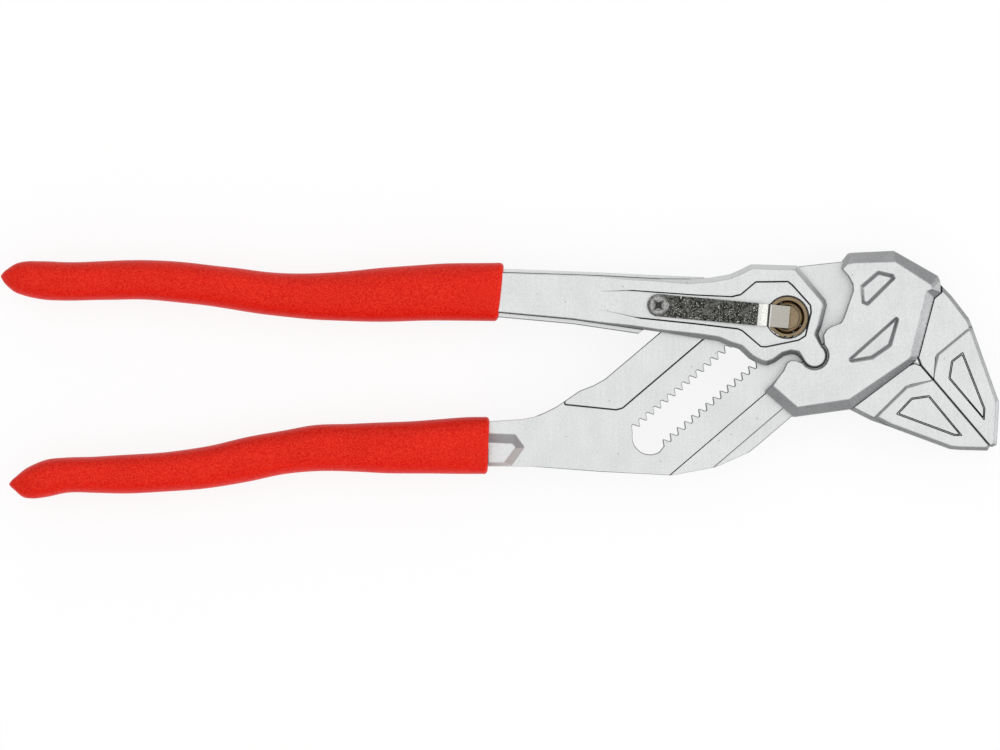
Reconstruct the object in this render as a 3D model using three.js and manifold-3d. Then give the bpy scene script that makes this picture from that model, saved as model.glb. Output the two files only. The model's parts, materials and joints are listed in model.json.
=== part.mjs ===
// Adjustable pipe pliers with parallel jaws, 300 mm class, jaws closed.
// Millimetres, +Z up. The pliers lie flat, with the leaf spring side up.
// Shapes are drawn about the pivot bolt and moved at the end, so that the
// origin is under the middle of the whole tool.

import * as THREE from 'three';
import { mergeVertices } from 'three/addons/utils/BufferGeometryUtils.js';
import Module from 'manifold-3d';

const wasm = await Module();
wasm.setup();

// Driving dimensions: the slide
const SLIDE_ANGLE = THREE.MathUtils.degToRad(40.5);
const ARM_THICKNESS = 9.6;
const CHANNEL_DEPTH = 0.8;
const ARM_UPPER_EDGE = 21.4;
const ARM_LOWER_EDGE = 23.6;
const CHANNEL_UPPER_EDGE = 11.3;
const CHANNEL_LOWER_EDGE = 13.3;
const BAND_LOWER_EDGE = 20;
const ARM_FOOT_REACH = 31;
const ARM_TOP_REACH = 53.5;

// Driving dimensions: the toothed slot and the bolt in it
const TOOTH_PITCH = 2.82;
const TOOTHED_LENGTH = 53.58;
const SLOT_END_RUN = 1;
const SLOT_END_DROP = 0.6;
const SLOT_END_RADIUS = 5.35;
const TOOTH_DEPTH = 1.75;
const TOOTH_FLAT = 0.4;
const SLOT_TIP_WIDTH = 7.6;
const BOLT_TEETH = 3;
const BOLT_CORE_RADIUS = 3.3;
const BOLT_TOOTH_HEIGHT = 2.4;
const CUP_RADIUS = 4.6;
const CUP_HOLLOW_RADIUS = 3.8;
const CUP_HOLLOW_DEPTH = 0.4;
const BUSH_WALL = 1.2;
const BUTTON_RADIUS = 5.6;
const BUTTON_HEIGHT = 2.5;
const BUTTON_EDGE = 0.6;
const BUTTON_SOCKET_DEPTH = 1.5;
const BUTTON_TRAVEL = 2.8;

// Driving dimensions: the jaws
const CONTACT_REACH = 21.3;
const JAW_REACH = 42;
const JAW_DEPTH = 70;
const JAW_THICKNESS = 14.4;
const JAW_PANEL_RISE = 0.7;
const JAW_EDGE = 1.1;
const JAW_PANEL_EDGE_DEPTH = 0.8;
const ENGRAVING_WIDTH = 0.4;
const ENGRAVING_DEPTH = 0.4;
const JAW_GAP = 0.3;
const PLATE_LENGTH = 62;
const PLATE_WIDTH = 38;
const PLATE_THICKNESS = 4.9;
const PLATE_BEVEL_DEPTH = 2.4;
const RECESS_DEPTH = 1.6;
const RECESS_SLOPE = 0.9;

// Driving dimensions: the upper handle
const CHEEK_THICKNESS = 4.1;
const HEAD_EDGE = 1.3;
const NARROW_EDGE = 0.55;
const HEAD_RADIUS = 16;
const UPPER_SHANK_LENGTH = 87;
const FORK_DEPTH = 25.2;
const NOSE_RADIUS = 3.85;
const NOSE_REACH = 14;
const NOSE_LEAD = 1.3;
const POCKET_DEPTH = 1;
const SHANK_THICKNESS = 12.4;
const SHANK_WEB_DROP = 1.5;

// Driving dimensions: the leaf spring and its screw
const SPRING_LENGTH = 38.9;
const SPRING_WIDTH = 6.7;
const SPRING_THICKNESS = 0.6;
const SPRING_ANGLE = THREE.MathUtils.degToRad(-5.3);
const SPRING_FLAT_LENGTH = 4.8;
const SPRING_TAB_LENGTH = 6.2;
const SPRING_TAB_PAST_BOLT = 0.5;
const SPRING_RAMP_LENGTH = 2.9;
const SPRING_BOW = 1.2;
const SCREW_HEAD_RADIUS = 3.3;
const SCREW_HEAD_HEIGHT = 1.7;
const SCREW_RADIUS = 1.4;
const SCREW_LENGTH = 5.5;
const CROSS_WIDTH = 0.8;
const CROSS_LENGTH = 3.4;
const CROSS_DEPTH = 0.9;
const CROSS_TURN = 42;

// Driving dimensions: the lower lever and the grips
const LOWER_SHANK_LENGTH = 90;
const LOWER_SHANK_DROP = 48;
const NOTCH_DEPTH = 1.6;
const UPPER_GRIP_LENGTH = 149.2;
const LOWER_GRIP_LENGTH = 144.2;
const GRIP_HEIGHT = 17.5;
const GRIP_THICKNESS = 16.4;
const GRIP_WALL = 1.8;
const TANG_THICKNESS = 7.6;
const TANG_END_WALL = 7;

// Clearances
const RUNNING_GAP = 0.3;
const NOSE_GAP = 0.45;
const HEAD_GAP = 0.4;
const OVERRUN = 2;

// Steps of round shapes, and how square the ovals of the grips and tangs are: 1 is an ellipse
const CIRCLE_SIDES = 40;
const RING_SIDES = 20;
const ARC_STEPS = 14;
const SLOT_END_STEPS = 12;
const GRIP_SQUARENESS = 0.8;
const TANG_SQUARENESS = 0.6;
const SHARPEST_MITRE = 0.5;

// Heights over the mid-plane of the arm, which the sizes above give
const ARM_TOP = ARM_THICKNESS / 2;
const CHANNEL_TOP = ARM_TOP - CHANNEL_DEPTH;
const INNER_FACE = ARM_TOP + RUNNING_GAP;
const PLATE_TOP = INNER_FACE + PLATE_THICKNESS;
const CHEEK_TOP = INNER_FACE + CHEEK_THICKNESS;
const POCKET_FLOOR = CHEEK_TOP - POCKET_DEPTH;
const JAW_TOP = JAW_THICKNESS / 2;
const PANEL_TOP = JAW_TOP + JAW_PANEL_RISE;
const SLOT_TIP = SLOT_TIP_WIDTH / 2;
const SLOT_VALLEY = SLOT_TIP + TOOTH_DEPTH;
const BOLT_TEETH_REACH = (BOLT_TEETH * TOOTH_PITCH) / 2;
const BOLT_TEETH_TIP = SLOT_VALLEY - RUNNING_GAP;
const BUSH_RADIUS = CUP_RADIUS + RUNNING_GAP + BUSH_WALL;
const PAST_ALL = JAW_DEPTH * 2;

// Outlines in the slide's own directions, as shares of the plate's length and width:
// along the slide towards the jaws, and across it
const plateEdgeShares = [
  [0.388, 0.054], [0.431, 0.068], [0.601, -0.147], [0.684, -0.523], [0.677, -0.566],
  [0.644, -0.636], [0.600, -0.634], [0.363, -0.901], [0.339, -0.921], [-0.055, -0.880],
  [-0.290, -0.634], [-0.317, -0.330],
];
const plateTopEdgeShares = [
  [0.384, 0.011], [0.416, -0.017], [0.570, -0.220], [0.629, -0.541], [0.621, -0.573],
  [0.595, -0.556], [0.586, -0.566], [0.329, -0.865], [0.311, -0.871], [-0.031, -0.809],
  [-0.245, -0.591], [-0.268, -0.336],
];
const plateHeelShares = [
  [-0.235, -0.318], [-0.182, -0.300], [-0.146, -0.272], [-0.124, -0.276], [-0.104, -0.306],
];
const plateLipShares = [
  [0.075, -0.292], [0.103, -0.276], [0.131, -0.279], [0.179, -0.308], [0.206, -0.292],
  [0.324, -0.179], [0.345, -0.134], [0.353, -0.063], [0.352, 0.010],
];
const upperRecessShares = [
  [0.477, -0.187], [0.523, -0.287], [0.519, -0.321], [0.331, -0.342], [0.316, -0.295],
  [0.366, -0.187],
];
const lowerRecessShares = [
  [0.402, -0.553], [0.403, -0.582], [0.290, -0.705], [0.182, -0.687], [0.092, -0.597],
  [0.090, -0.563],
];

// Outlines in the slide's directions, as shares of the jaws' reach and depth
const fixedJawEdgeShares = [
  [0.986, -0.320], [0.993, -0.390], [0.983, -0.511], [0.962, -0.546], [0.871, -0.687],
  [0.760, -0.863], [0.721, -0.890], [0.545, -1.000],
];
const fixedPanelShares = [[0.640, -0.531], [0.921, -0.534]];
const fixedEngravingShares = [
  [0.790, -0.603], [0.688, -0.600], [0.593, -0.649], [0.593, -0.883], [0.650, -0.847],
];
const slidingJawEdgeShares = [
  [0.469, -0.993], [0.333, -0.920], [0.276, -0.886], [0.049, -0.642], [-0.017, -0.574],
  [-0.090, -0.470],
];
const slidingPanelShares = [[0.324, -0.550], [-0.002, -0.564]];
const slidingEngravingShares = [
  [0.407, -0.650], [0.298, -0.609], [0.143, -0.619], [0.357, -0.850], [0.400, -0.872],
];
const slidingHeelShares = [[-0.095, -0.462], [0.200, -0.440]];
const slidingWebHeelShare = [-0.360, -0.352];

// Places along the contact faces, as shares of the jaws' depth
const webReliefShares = [-0.470, -0.520];
const slidingReliefShares = [-0.500, -0.530];
const fixedReliefShares = [-0.530, -0.485, -0.400];
const panelStartShare = -0.610;
const slidingTipShare = -0.985;
const fixedTipShare = -0.993;

// Outlines along X and Y, as shares of the head's radius
const headTopShares = [[-1.081, 0.806], [-0.840, 0.912], [-0.681, 0.994], [0.178, 0.969]];
const headFrontShares = [[0.716, 0.323], [0.741, 0.223], [0.639, -0.178], [0.583, -0.315]];
const headBottomShares = [
  [0.180, -0.709], [0.066, -0.690], [-0.068, -0.728], [-0.240, -0.853], [-0.394, -0.909],
  [-0.527, -0.872], [-0.699, -0.776], [-0.891, -0.594], [-1.082, -0.536],
];
const pocketHeadShares = [
  [-1.712, -0.125], [-0.925, -0.219], [-0.844, -0.256], [-0.500, -0.550], [-0.400, -0.556],
  [0.206, -0.431], [0.338, -0.350], [0.444, 0.094], [0.431, 0.225], [0.100, 0.594],
  [0.013, 0.669], [-0.594, 0.662], [-0.875, 0.425], [-1.031, 0.388], [-1.712, 0.419],
];

// Outlines along X as shares of the shank's length, and along Y of the head's radius
const shankTopShares = [[-1.000, 0.915], [-0.654, 0.845], [-0.445, 0.790], [-0.263, 0.748]];
const shankFaceShares = [[-1.000, 0.838], [-0.654, 0.776], [-0.445, 0.716], [-0.345, 0.712], [-0.263, 0.744]];
const shankBottomShares = [
  [-0.240, -0.444], [-0.309, -0.392], [-0.445, -0.268], [-0.740, -0.032], [-1.000, 0.098],
];
const pocketTailShares = [[-0.536, 0.506], [-0.647, 0.481], [-0.654, 0.150], [-0.515, -0.013]];
const headEdgeShare = -0.350;
const taperRimShare = -0.535;
const taperStartShare = -0.650;
const taperEndShare = -1.100;

// Outlines along X as shares of the lower shank's length, and along Y of its drop
const lowerTopShares = [
  [-1.000, -0.652], [-0.884, -0.638], [-0.847, -0.625], [-0.808, -0.596], [-0.770, -0.560],
  [-0.692, -0.460], [-0.644, -0.425],
];
const lowerBottomShares = [
  [-0.127, -0.846], [-0.238, -0.938], [-0.386, -0.990], [-0.626, -0.967], [-0.852, -0.935],
  [-1.000, -0.933],
];
const foldShares = [[-0.742, -0.546], [-0.570, -0.579], [-0.549, -0.568]];
const armTopShares = [
  [-0.222, 0.225], [-0.156, 0.270], [-0.117, 0.305], [0.018, 0.315], [0.200, 0.352], [0.370, 0.300],
];
const notchShares = [
  [-1.050, -0.721], [-0.906, -0.730], [-0.876, -0.812], [-0.921, -0.930], [-1.050, -0.930],
];
const notchFloorShares = [
  [-1.050, -0.777], [-0.918, -0.793], [-0.907, -0.816], [-0.945, -0.912], [-1.050, -0.908],
];

// Grip stations: share of the grip's length from its mouth, share of its height for the
// top edge and for the bottom edge, each over the pivot, and share of its thickness
const upperGripShares = [
  [0.000, 0.86, 0.04, 0.88], [0.008, 0.925, -0.035, 0.95], [0.030, 0.940, -0.066, 0.98],
  [0.110, 0.928, -0.058, 1.00], [0.220, 0.860, -0.074, 1.00], [0.300, 0.800, -0.070, 0.99],
  [0.380, 0.758, -0.032, 0.97], [0.460, 0.780, 0.040, 0.95], [0.540, 0.868, 0.142, 0.94],
  [0.625, 0.948, 0.240, 0.94], [0.710, 0.988, 0.303, 0.93], [0.790, 0.972, 0.297, 0.92],
  [0.870, 0.955, 0.283, 0.90], [0.920, 0.965, 0.315, 0.84], [0.955, 0.953, 0.385, 0.72],
  [0.976, 0.880, 0.474, 0.54], [0.990, 0.810, 0.565, 0.34], [1.000, 0.745, 0.665, 0.12],
];
const lowerGripShares = [
  [0.000, -1.770, -2.590, 0.88], [0.008, -1.715, -2.665, 0.95], [0.030, -1.707, -2.697, 0.98],
  [0.100, -1.748, -2.691, 1.00], [0.180, -1.794, -2.686, 1.00], [0.280, -1.823, -2.657, 0.99],
  [0.360, -1.850, -2.649, 0.97], [0.420, -1.937, -2.697, 0.95], [0.500, -2.057, -2.829, 0.94],
  [0.580, -2.203, -2.943, 0.94], [0.660, -2.309, -2.991, 0.93], [0.740, -2.354, -3.029, 0.92],
  [0.815, -2.389, -3.023, 0.91], [0.880, -2.406, -3.026, 0.88], [0.920, -2.451, -3.091, 0.82],
  [0.950, -2.554, -3.109, 0.70], [0.972, -2.680, -3.051, 0.52], [0.988, -2.777, -2.949, 0.32],
  [1.000, -2.851, -2.897, 0.12],
];

// The screw head's rim: shares of its radius and of its height
const screwHeadShares = [[1.00, 0.35], [0.93, 0.65], [0.72, 0.92], [0.40, 1.00]];

// Materials
function material(name, colour, roughness, metalness) {
  return new THREE.MeshStandardMaterial({ name, color: colour, roughness, metalness });
}

const satinSteel = material('satin_steel', 0xd2d4d6, 0.38, 0.85);
const zincSteel = material('zinc_steel', 0x8f908c, 0.42, 0.9);
const bronze = material('bronze', 0x9c8260, 0.4, 0.85);
const blackenedSteel = material('blackened_steel', 0x4a4a4c, 0.45, 0.8);
const redVinyl = material('red_vinyl', 0xe0281c, 0.5, 0);

// Plan geometry
function alongSlide([along, across]) {
  const c = Math.cos(SLIDE_ANGLE);
  const s = Math.sin(SLIDE_ANGLE);
  return [along * c - across * s, along * s + across * c];
}

function scaled(shares, length, width) {
  return shares.map(([a, b]) => [a * length, b * width]);
}

function onSlide(shares, length, width) {
  return scaled(shares, length, width).map(alongSlide);
}

function arc([x, y], radius, from, to, steps) {
  const points = [];
  for (let i = 0; i <= steps; i += 1) {
    const angle = THREE.MathUtils.degToRad(from + ((to - from) * i) / steps);
    points.push([x + radius * Math.cos(angle), y + radius * Math.sin(angle)]);
  }
  return points;
}

function counterClockwise(points) {
  const outline = points.map(([x, y]) => new THREE.Vector2(x, y));
  return THREE.ShapeUtils.isClockWise(outline) ? outline.reverse() : outline;
}

// Moves each side of a closed outline outwards by a distance, or inwards if it is negative.
// The distance may depend on the place. A side that would turn round shrinks to one point.
function offset(points, distance) {
  const outline = counterClockwise(points);
  const distanceAt = typeof distance === 'number' ? () => distance : distance;
  const count = outline.length;
  const moved = outline.map((point, i) => {
    const before = outline[(i + count - 1) % count];
    const after = outline[(i + 1) % count];
    const first = point.clone().sub(before).normalize();
    const second = after.clone().sub(point).normalize();
    const normal = new THREE.Vector2(first.y + second.y, -first.x - second.x).normalize();
    const spread = Math.max(normal.dot(new THREE.Vector2(first.y, -first.x)), SHARPEST_MITRE);
    return point.clone().addScaledVector(normal, distanceAt(point) / spread);
  });
  moved.forEach((point, i) => {
    const next = moved[(i + 1) % count];
    const side = outline[(i + 1) % count].clone().sub(outline[i]);
    if (next.clone().sub(point).dot(side) <= 0) {
      const shared = point.clone().add(next).multiplyScalar(0.5);
      point.copy(shared);
      next.copy(shared);
    }
  });
  return moved.map(({ x, y }) => [x, y]);
}

// A strip along the slide between two places across it, longer than the tool
function slideStrip(low, high) {
  return [[-PAST_ALL, low], [PAST_ALL, low], [PAST_ALL, high], [-PAST_ALL, high]].map(alongSlide);
}

// Solids
function solid(geometry) {
  const plain = new THREE.BufferGeometry();
  plain.setAttribute('position', geometry.getAttribute('position').clone());
  plain.setIndex(geometry.getIndex());
  const merged = mergeVertices(plain);
  return new wasm.Manifold(new wasm.Mesh({
    numProp: 3,
    vertProperties: new Float32Array(merged.getAttribute('position').array),
    triVerts: new Uint32Array(merged.getIndex().array),
  }));
}

function joined(...solids) {
  return solids.reduce((whole, piece) => whole.add(piece));
}

function cut(body, ...tools) {
  return tools.reduce((left, tool) => left.subtract(tool), body);
}

// Stacks closed outlines that have as many points each, and closes both ends.
// Neighbouring points of an outline that lie together count as one.
function layered(outlines, heights) {
  const count = outlines[0].length;
  const positions = [];
  const index = [];
  const rings = outlines.map((outline, k) => {
    const ids = [];
    outline.forEach(([x, y], i) => {
      const [px, py] = outline[(i + count - 1) % count];
      const same = i > 0 && x === px && y === py;
      if (!same) {
        positions.push(x, y, heights[k]);
      }
      ids.push(positions.length / 3 - 1);
    });
    const [fx, fy] = outline[0];
    const [lx, ly] = outline[count - 1];
    return fx === lx && fy === ly ? ids.map((id) => (id === ids[count - 1] ? ids[0] : id)) : ids;
  });
  const add = (a, b, c) => {
    if (a !== b && b !== c && c !== a) {
      index.push(a, b, c);
    }
  };
  const cap = (ring, turn) => {
    const ids = [...new Set(ring)];
    const flat = ids.map((id) => new THREE.Vector2(positions[id * 3], positions[id * 3 + 1]));
    THREE.ShapeUtils.triangulateShape(flat, []).forEach(([a, b, c]) => {
      if (turn) {
        add(ids[a], ids[c], ids[b]);
      } else {
        add(ids[a], ids[b], ids[c]);
      }
    });
  };
  cap(rings[0], true);
  cap(rings[rings.length - 1], false);
  for (let k = 0; k < rings.length - 1; k += 1) {
    for (let i = 0; i < count; i += 1) {
      const j = (i + 1) % count;
      add(rings[k][i], rings[k][j], rings[k + 1][j]);
      add(rings[k][i], rings[k + 1][j], rings[k + 1][i]);
    }
  }
  const geometry = new THREE.BufferGeometry();
  geometry.setAttribute('position', new THREE.Float32BufferAttribute(positions, 3));
  geometry.setIndex(index);
  return solid(geometry);
}

function prism(points, low, high) {
  const shape = new THREE.Shape(counterClockwise(points));
  const geometry = new THREE.ExtrudeGeometry(shape, { depth: high - low, bevelEnabled: false });
  geometry.translate(0, 0, low);
  return solid(geometry);
}

// A plate about the mid-plane with a sloped edge round both faces, of a width that may vary
function edgedPlate(points, top, depth, widthAt) {
  const outer = offset(points, 0);
  const inner = offset(points, (point) => -widthAt(point));
  return layered([inner, outer, outer, inner], [-top, depth - top, top - depth, top]);
}

function disc([x, y], radius, low, high, sides = CIRCLE_SIDES) {
  const geometry = new THREE.CylinderGeometry(radius, radius, high - low, sides);
  geometry.rotateX(Math.PI / 2);
  geometry.translate(x, y, (low + high) / 2);
  return solid(geometry);
}

function turned(profile, sides = CIRCLE_SIDES) {
  const points = profile.map(([r, z]) => new THREE.Vector2(r, z));
  const geometry = new THREE.LatheGeometry(points, sides);
  geometry.rotateX(Math.PI / 2);
  return solid(geometry);
}

// A bar along X through oval rings, each with its place, half height and half thickness.
function bar(rings, squareness) {
  const positions = [];
  const index = [];
  rings.forEach(({ x, y, halfHeight, halfThickness }) => {
    for (let i = 0; i < RING_SIDES; i += 1) {
      const angle = (2 * Math.PI * i) / RING_SIDES;
      const c = Math.cos(angle);
      const s = Math.sin(angle);
      const cosine = Math.sign(c) * Math.abs(c) ** squareness;
      const sine = Math.sign(s) * Math.abs(s) ** squareness;
      positions.push(x, y + halfHeight * cosine, halfThickness * sine);
    }
  });
  for (let k = 0; k < rings.length - 1; k += 1) {
    for (let i = 0; i < RING_SIDES; i += 1) {
      const a = k * RING_SIDES + i;
      const b = k * RING_SIDES + ((i + 1) % RING_SIDES);
      index.push(a, b + RING_SIDES, b, a, a + RING_SIDES, b + RING_SIDES);
    }
  }
  const last = (rings.length - 1) * RING_SIDES;
  for (let i = 1; i < RING_SIDES - 1; i += 1) {
    index.push(0, i, i + 1, last, last + i + 1, last + i);
  }
  const geometry = new THREE.BufferGeometry();
  geometry.setAttribute('position', new THREE.Float32BufferAttribute(positions, 3));
  geometry.setIndex(index);
  return solid(geometry);
}

function mesh(name, made, finish) {
  const { vertProperties, triVerts, numProp } = made.getMesh();
  const positions = [];
  for (let i = 0; i < vertProperties.length; i += numProp) {
    positions.push(vertProperties[i], vertProperties[i + 1], vertProperties[i + 2]);
  }
  const geometry = new THREE.BufferGeometry();
  geometry.setAttribute('position', new THREE.Float32BufferAttribute(positions, 3));
  geometry.setIndex([...triVerts]);
  geometry.computeVertexNormals();
  const piece = new THREE.Mesh(geometry, finish);
  piece.name = name;
  return piece;
}

// The grips and the tangs in them
function gripRings(shares, mouth, length, shrink) {
  return shares.map(([along, top, bottom, thick]) => ({
    x: mouth - along * length,
    y: ((top + bottom) / 2) * GRIP_HEIGHT,
    halfHeight: ((top - bottom) / 2) * GRIP_HEIGHT - shrink,
    halfThickness: (thick * GRIP_THICKNESS) / 2 - shrink,
  }));
}

// The tang has the grip's form from the third station on, where the grip's rim ends.
function tang(shares, mouth, length, shrink) {
  const thickest = TANG_THICKNESS / 2 + GRIP_WALL - shrink;
  const inside = gripRings(shares.slice(2), mouth, length, shrink)
    .filter(({ x, halfThickness }) => x > mouth - length + TANG_END_WALL && halfThickness > GRIP_WALL)
    .map((ring) => ({ ...ring, halfThickness: Math.min(ring.halfThickness, thickest) }));
  const stub = { ...inside[0], x: mouth + OVERRUN };
  const root = { ...inside[0], x: mouth };
  return bar([stub, root, ...inside], TANG_SQUARENESS);
}

function grip(name, shares, mouth, length) {
  const outside = bar(gripRings(shares, mouth, length, 0), GRIP_SQUARENESS);
  const hollow = tang(shares, mouth, length, GRIP_WALL - RUNNING_GAP);
  return mesh(name, outside.subtract(hollow), redVinyl);
}

const upperMouth = -UPPER_SHANK_LENGTH - RUNNING_GAP;
const lowerMouth = -LOWER_SHANK_LENGTH - RUNNING_GAP;

// The toothed slot
function toothRow(from, to, tip, valley) {
  const points = [];
  const step = Math.sign(to - from);
  for (let k = from; k !== to; k += step) {
    const middle = k * TOOTH_PITCH;
    const next = middle + (step * TOOTH_PITCH) / 2;
    const flat = (step * TOOTH_FLAT) / 2;
    points.push([middle - flat, valley], [middle + flat, valley]);
    points.push([next - flat, tip], [next + flat, tip]);
  }
  return points;
}

// The upper row has one tooth more than the lower row, and the round end takes in its last tip
function slotOutline() {
  const endCentre = [-TOOTHED_LENGTH - SLOT_END_RUN, -SLOT_END_DROP];
  const highEnd = TOOTH_PITCH;
  const low = -Math.round(TOOTHED_LENGTH / TOOTH_PITCH) - 1;
  const down = toothRow(1, low - 1, SLOT_TIP, SLOT_VALLEY);
  const up = toothRow(low, 1, -SLOT_TIP, -SLOT_VALLEY);
  const top = arc([highEnd, 0], SLOT_VALLEY, -90, 90, SLOT_END_STEPS);
  const bottom = arc(endCentre, SLOT_END_RADIUS, 128, 262, SLOT_END_STEPS);
  return [...top, ...down.slice(1, -2), ...bottom, ...up.slice(4)].map(alongSlide);
}

function boltTeethOutline() {
  const valley = SLOT_TIP - RUNNING_GAP;
  const upper = [[-BOLT_TEETH_REACH, valley]];
  for (let k = 0; k < BOLT_TEETH; k += 1) {
    const end = (k + 1) * TOOTH_PITCH - BOLT_TEETH_REACH;
    const middle = end - TOOTH_PITCH / 2;
    upper.push([middle - TOOTH_FLAT / 4, BOLT_TEETH_TIP], [middle + TOOTH_FLAT / 4, BOLT_TEETH_TIP]);
    upper.push([end, valley]);
  }
  const lower = upper.map(([a, b]) => [-a, -b]);
  return [...upper, ...lower].map(alongSlide);
}

// Jaw outlines
const noseCentre = alongSlide([-NOSE_LEAD, -NOSE_REACH]);

function plateOutline(edgeShares) {
  const slideDegrees = THREE.MathUtils.radToDeg(SLIDE_ANGLE);
  const [from, to] = [slideDegrees + 172, slideDegrees + 365];
  const points = [
    ...onSlide(edgeShares, PLATE_LENGTH, PLATE_WIDTH),
    ...onSlide(plateHeelShares, PLATE_LENGTH, PLATE_WIDTH),
    ...arc(noseCentre, NOSE_RADIUS + NOSE_GAP, from, to, ARC_STEPS),
    ...onSlide(plateLipShares, PLATE_LENGTH, PLATE_WIDTH),
  ];
  return counterClockwise(points).map(({ x, y }) => [x, y]);
}

function jawPlate() {
  const outer = plateOutline(plateEdgeShares);
  const inner = plateOutline(plateTopEdgeShares);
  const blank = layered([outer, outer, inner], [INNER_FACE, PLATE_TOP - PLATE_BEVEL_DEPTH, PLATE_TOP]);
  const heights = [PLATE_TOP - RECESS_DEPTH, PLATE_TOP, PLATE_TOP + RECESS_DEPTH];
  const recesses = [upperRecessShares, lowerRecessShares].map((shares) => {
    const mouth = offset(onSlide(shares, PLATE_LENGTH, PLATE_WIDTH), 0);
    const floor = offset(mouth, -RECESS_SLOPE);
    const past = offset(mouth, RECESS_SLOPE);
    return layered([floor, mouth, past], heights);
  });
  return cut(blank, ...recesses);
}

// A jaw's thick part, in the slide's directions: its edges slope, but not at the contact face
function jawPart(edge, contact, top, edgeDepth, outwards) {
  const outline = [...edge, ...contact].map(alongSlide);
  const wide = [...edge, ...contact.map(([a, b]) => [a + outwards, b])].map(alongSlide);
  return edgedPlate(wide, top, edgeDepth, () => JAW_EDGE).intersect(prism(outline, -top, top));
}

function mirroredInZ(made) {
  return made.scale([1, 1, -1]);
}

function engraving(shares) {
  const outer = onSlide(shares, JAW_REACH, JAW_DEPTH);
  const inner = offset(outer, -ENGRAVING_WIDTH);
  const groove = prism(outer, PANEL_TOP - ENGRAVING_DEPTH, PANEL_TOP + OVERRUN);
  const island = prism(inner, PANEL_TOP - ENGRAVING_DEPTH * 2, PANEL_TOP + OVERRUN * 2);
  return groove.subtract(island);
}

function withBothSides(made) {
  return joined(made, mirroredInZ(made));
}

// The jaw block of the sliding jaw, between its two plates
function slidingBlock() {
  const face = CONTACT_REACH - JAW_GAP;
  const relief = face - JAW_EDGE;
  const armSide = -ARM_LOWER_EDGE - HEAD_GAP;
  const tip = [face, slidingTipShare * JAW_DEPTH];
  const edge = scaled(slidingJawEdgeShares, JAW_REACH, JAW_DEPTH);
  const [webHeel] = scaled([slidingWebHeelShare], JAW_REACH, JAW_DEPTH);
  const webOutline = [
    [relief, armSide], [relief, webReliefShares[0] * JAW_DEPTH], [face, webReliefShares[1] * JAW_DEPTH],
    tip, ...edge, webHeel, [webHeel[0], armSide],
  ].map(alongSlide);
  const jawStart = slidingReliefShares.map((share) => share * JAW_DEPTH);
  const web = prism(webOutline, -INNER_FACE - RUNNING_GAP, INNER_FACE + RUNNING_GAP);
  const jaw = jawPart(
    [...edge.slice(0, -1), ...scaled(slidingHeelShares, JAW_REACH, JAW_DEPTH)],
    [[relief, jawStart[0]], [face, jawStart[1]], tip],
    JAW_TOP, JAW_EDGE, JAW_EDGE * 2,
  );
  const panel = jawPart(
    [...edge.slice(0, -2), ...scaled(slidingPanelShares, JAW_REACH, JAW_DEPTH).reverse()],
    [[face, panelStartShare * JAW_DEPTH], tip],
    PANEL_TOP, JAW_PANEL_EDGE_DEPTH, JAW_EDGE * 2,
  );
  return cut(joined(web, jaw, panel), withBothSides(engraving(slidingEngravingShares)));
}

// Two plates, each with a rib that runs in the arm's channel, joined by the jaw block
function slidingJaw() {
  const ribLow = CHANNEL_TOP + RUNNING_GAP;
  const channelSide = -CHANNEL_LOWER_EDGE + RUNNING_GAP;
  const ribBlank = prism(plateOutline(plateEdgeShares), ribLow, INNER_FACE + RUNNING_GAP);
  const rib = ribBlank.intersect(prism(slideStrip(channelSide, PLATE_WIDTH), 0, PLATE_TOP));
  const side = joined(jawPlate(), rib);
  const armRoom = prism(slideStrip(-ARM_LOWER_EDGE - HEAD_GAP, PLATE_WIDTH), -ribLow, ribLow);
  return joined(side, mirroredInZ(side), cut(slidingBlock(), armRoom));
}

// The lower lever: shank, slotted arm and fixed jaw in one forging
function leverOutline(edge, contact) {
  return [
    ...scaled(lowerTopShares, LOWER_SHANK_LENGTH, LOWER_SHANK_DROP),
    alongSlide([-ARM_TOP_REACH, ARM_UPPER_EDGE]),
    ...scaled(armTopShares, LOWER_SHANK_LENGTH, LOWER_SHANK_DROP),
    ...[...edge, ...contact.slice(0, -1)].map(alongSlide),
    alongSlide([CONTACT_REACH + JAW_EDGE, -ARM_LOWER_EDGE]),
    alongSlide([-ARM_FOOT_REACH, -ARM_LOWER_EDGE]),
    ...scaled(lowerBottomShares, LOWER_SHANK_LENGTH, LOWER_SHANK_DROP),
  ];
}

// The arm is thinner in the channel that the sliding jaw's ribs run in
function slottedArm(outline) {
  const core = prism(outline, -CHANNEL_TOP, CHANNEL_TOP);
  const full = prism(outline, -ARM_TOP, ARM_TOP);
  const fold = scaled(foldShares, LOWER_SHANK_LENGTH, LOWER_SHANK_DROP);
  const aboveFold = [
    ...fold, alongSlide([0, CHANNEL_UPPER_EDGE]), alongSlide([PAST_ALL, CHANNEL_UPPER_EDGE]),
    alongSlide([PAST_ALL, PAST_ALL]), [fold[0][0], PAST_ALL],
  ];
  const belowChannel = [
    [-PAST_ALL, -CHANNEL_LOWER_EDGE], [CONTACT_REACH, -CHANNEL_LOWER_EDGE],
    [CONTACT_REACH, -BAND_LOWER_EDGE], [-PAST_ALL, -BAND_LOWER_EDGE],
  ].map(alongSlide);
  const upperBand = full.intersect(prism(aboveFold, -PLATE_TOP, PLATE_TOP));
  const lowerBand = full.intersect(prism(belowChannel, -PLATE_TOP, PLATE_TOP));
  return cut(joined(core, upperBand, lowerBand), prism(slotOutline(), -PLATE_TOP, PLATE_TOP));
}

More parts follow.
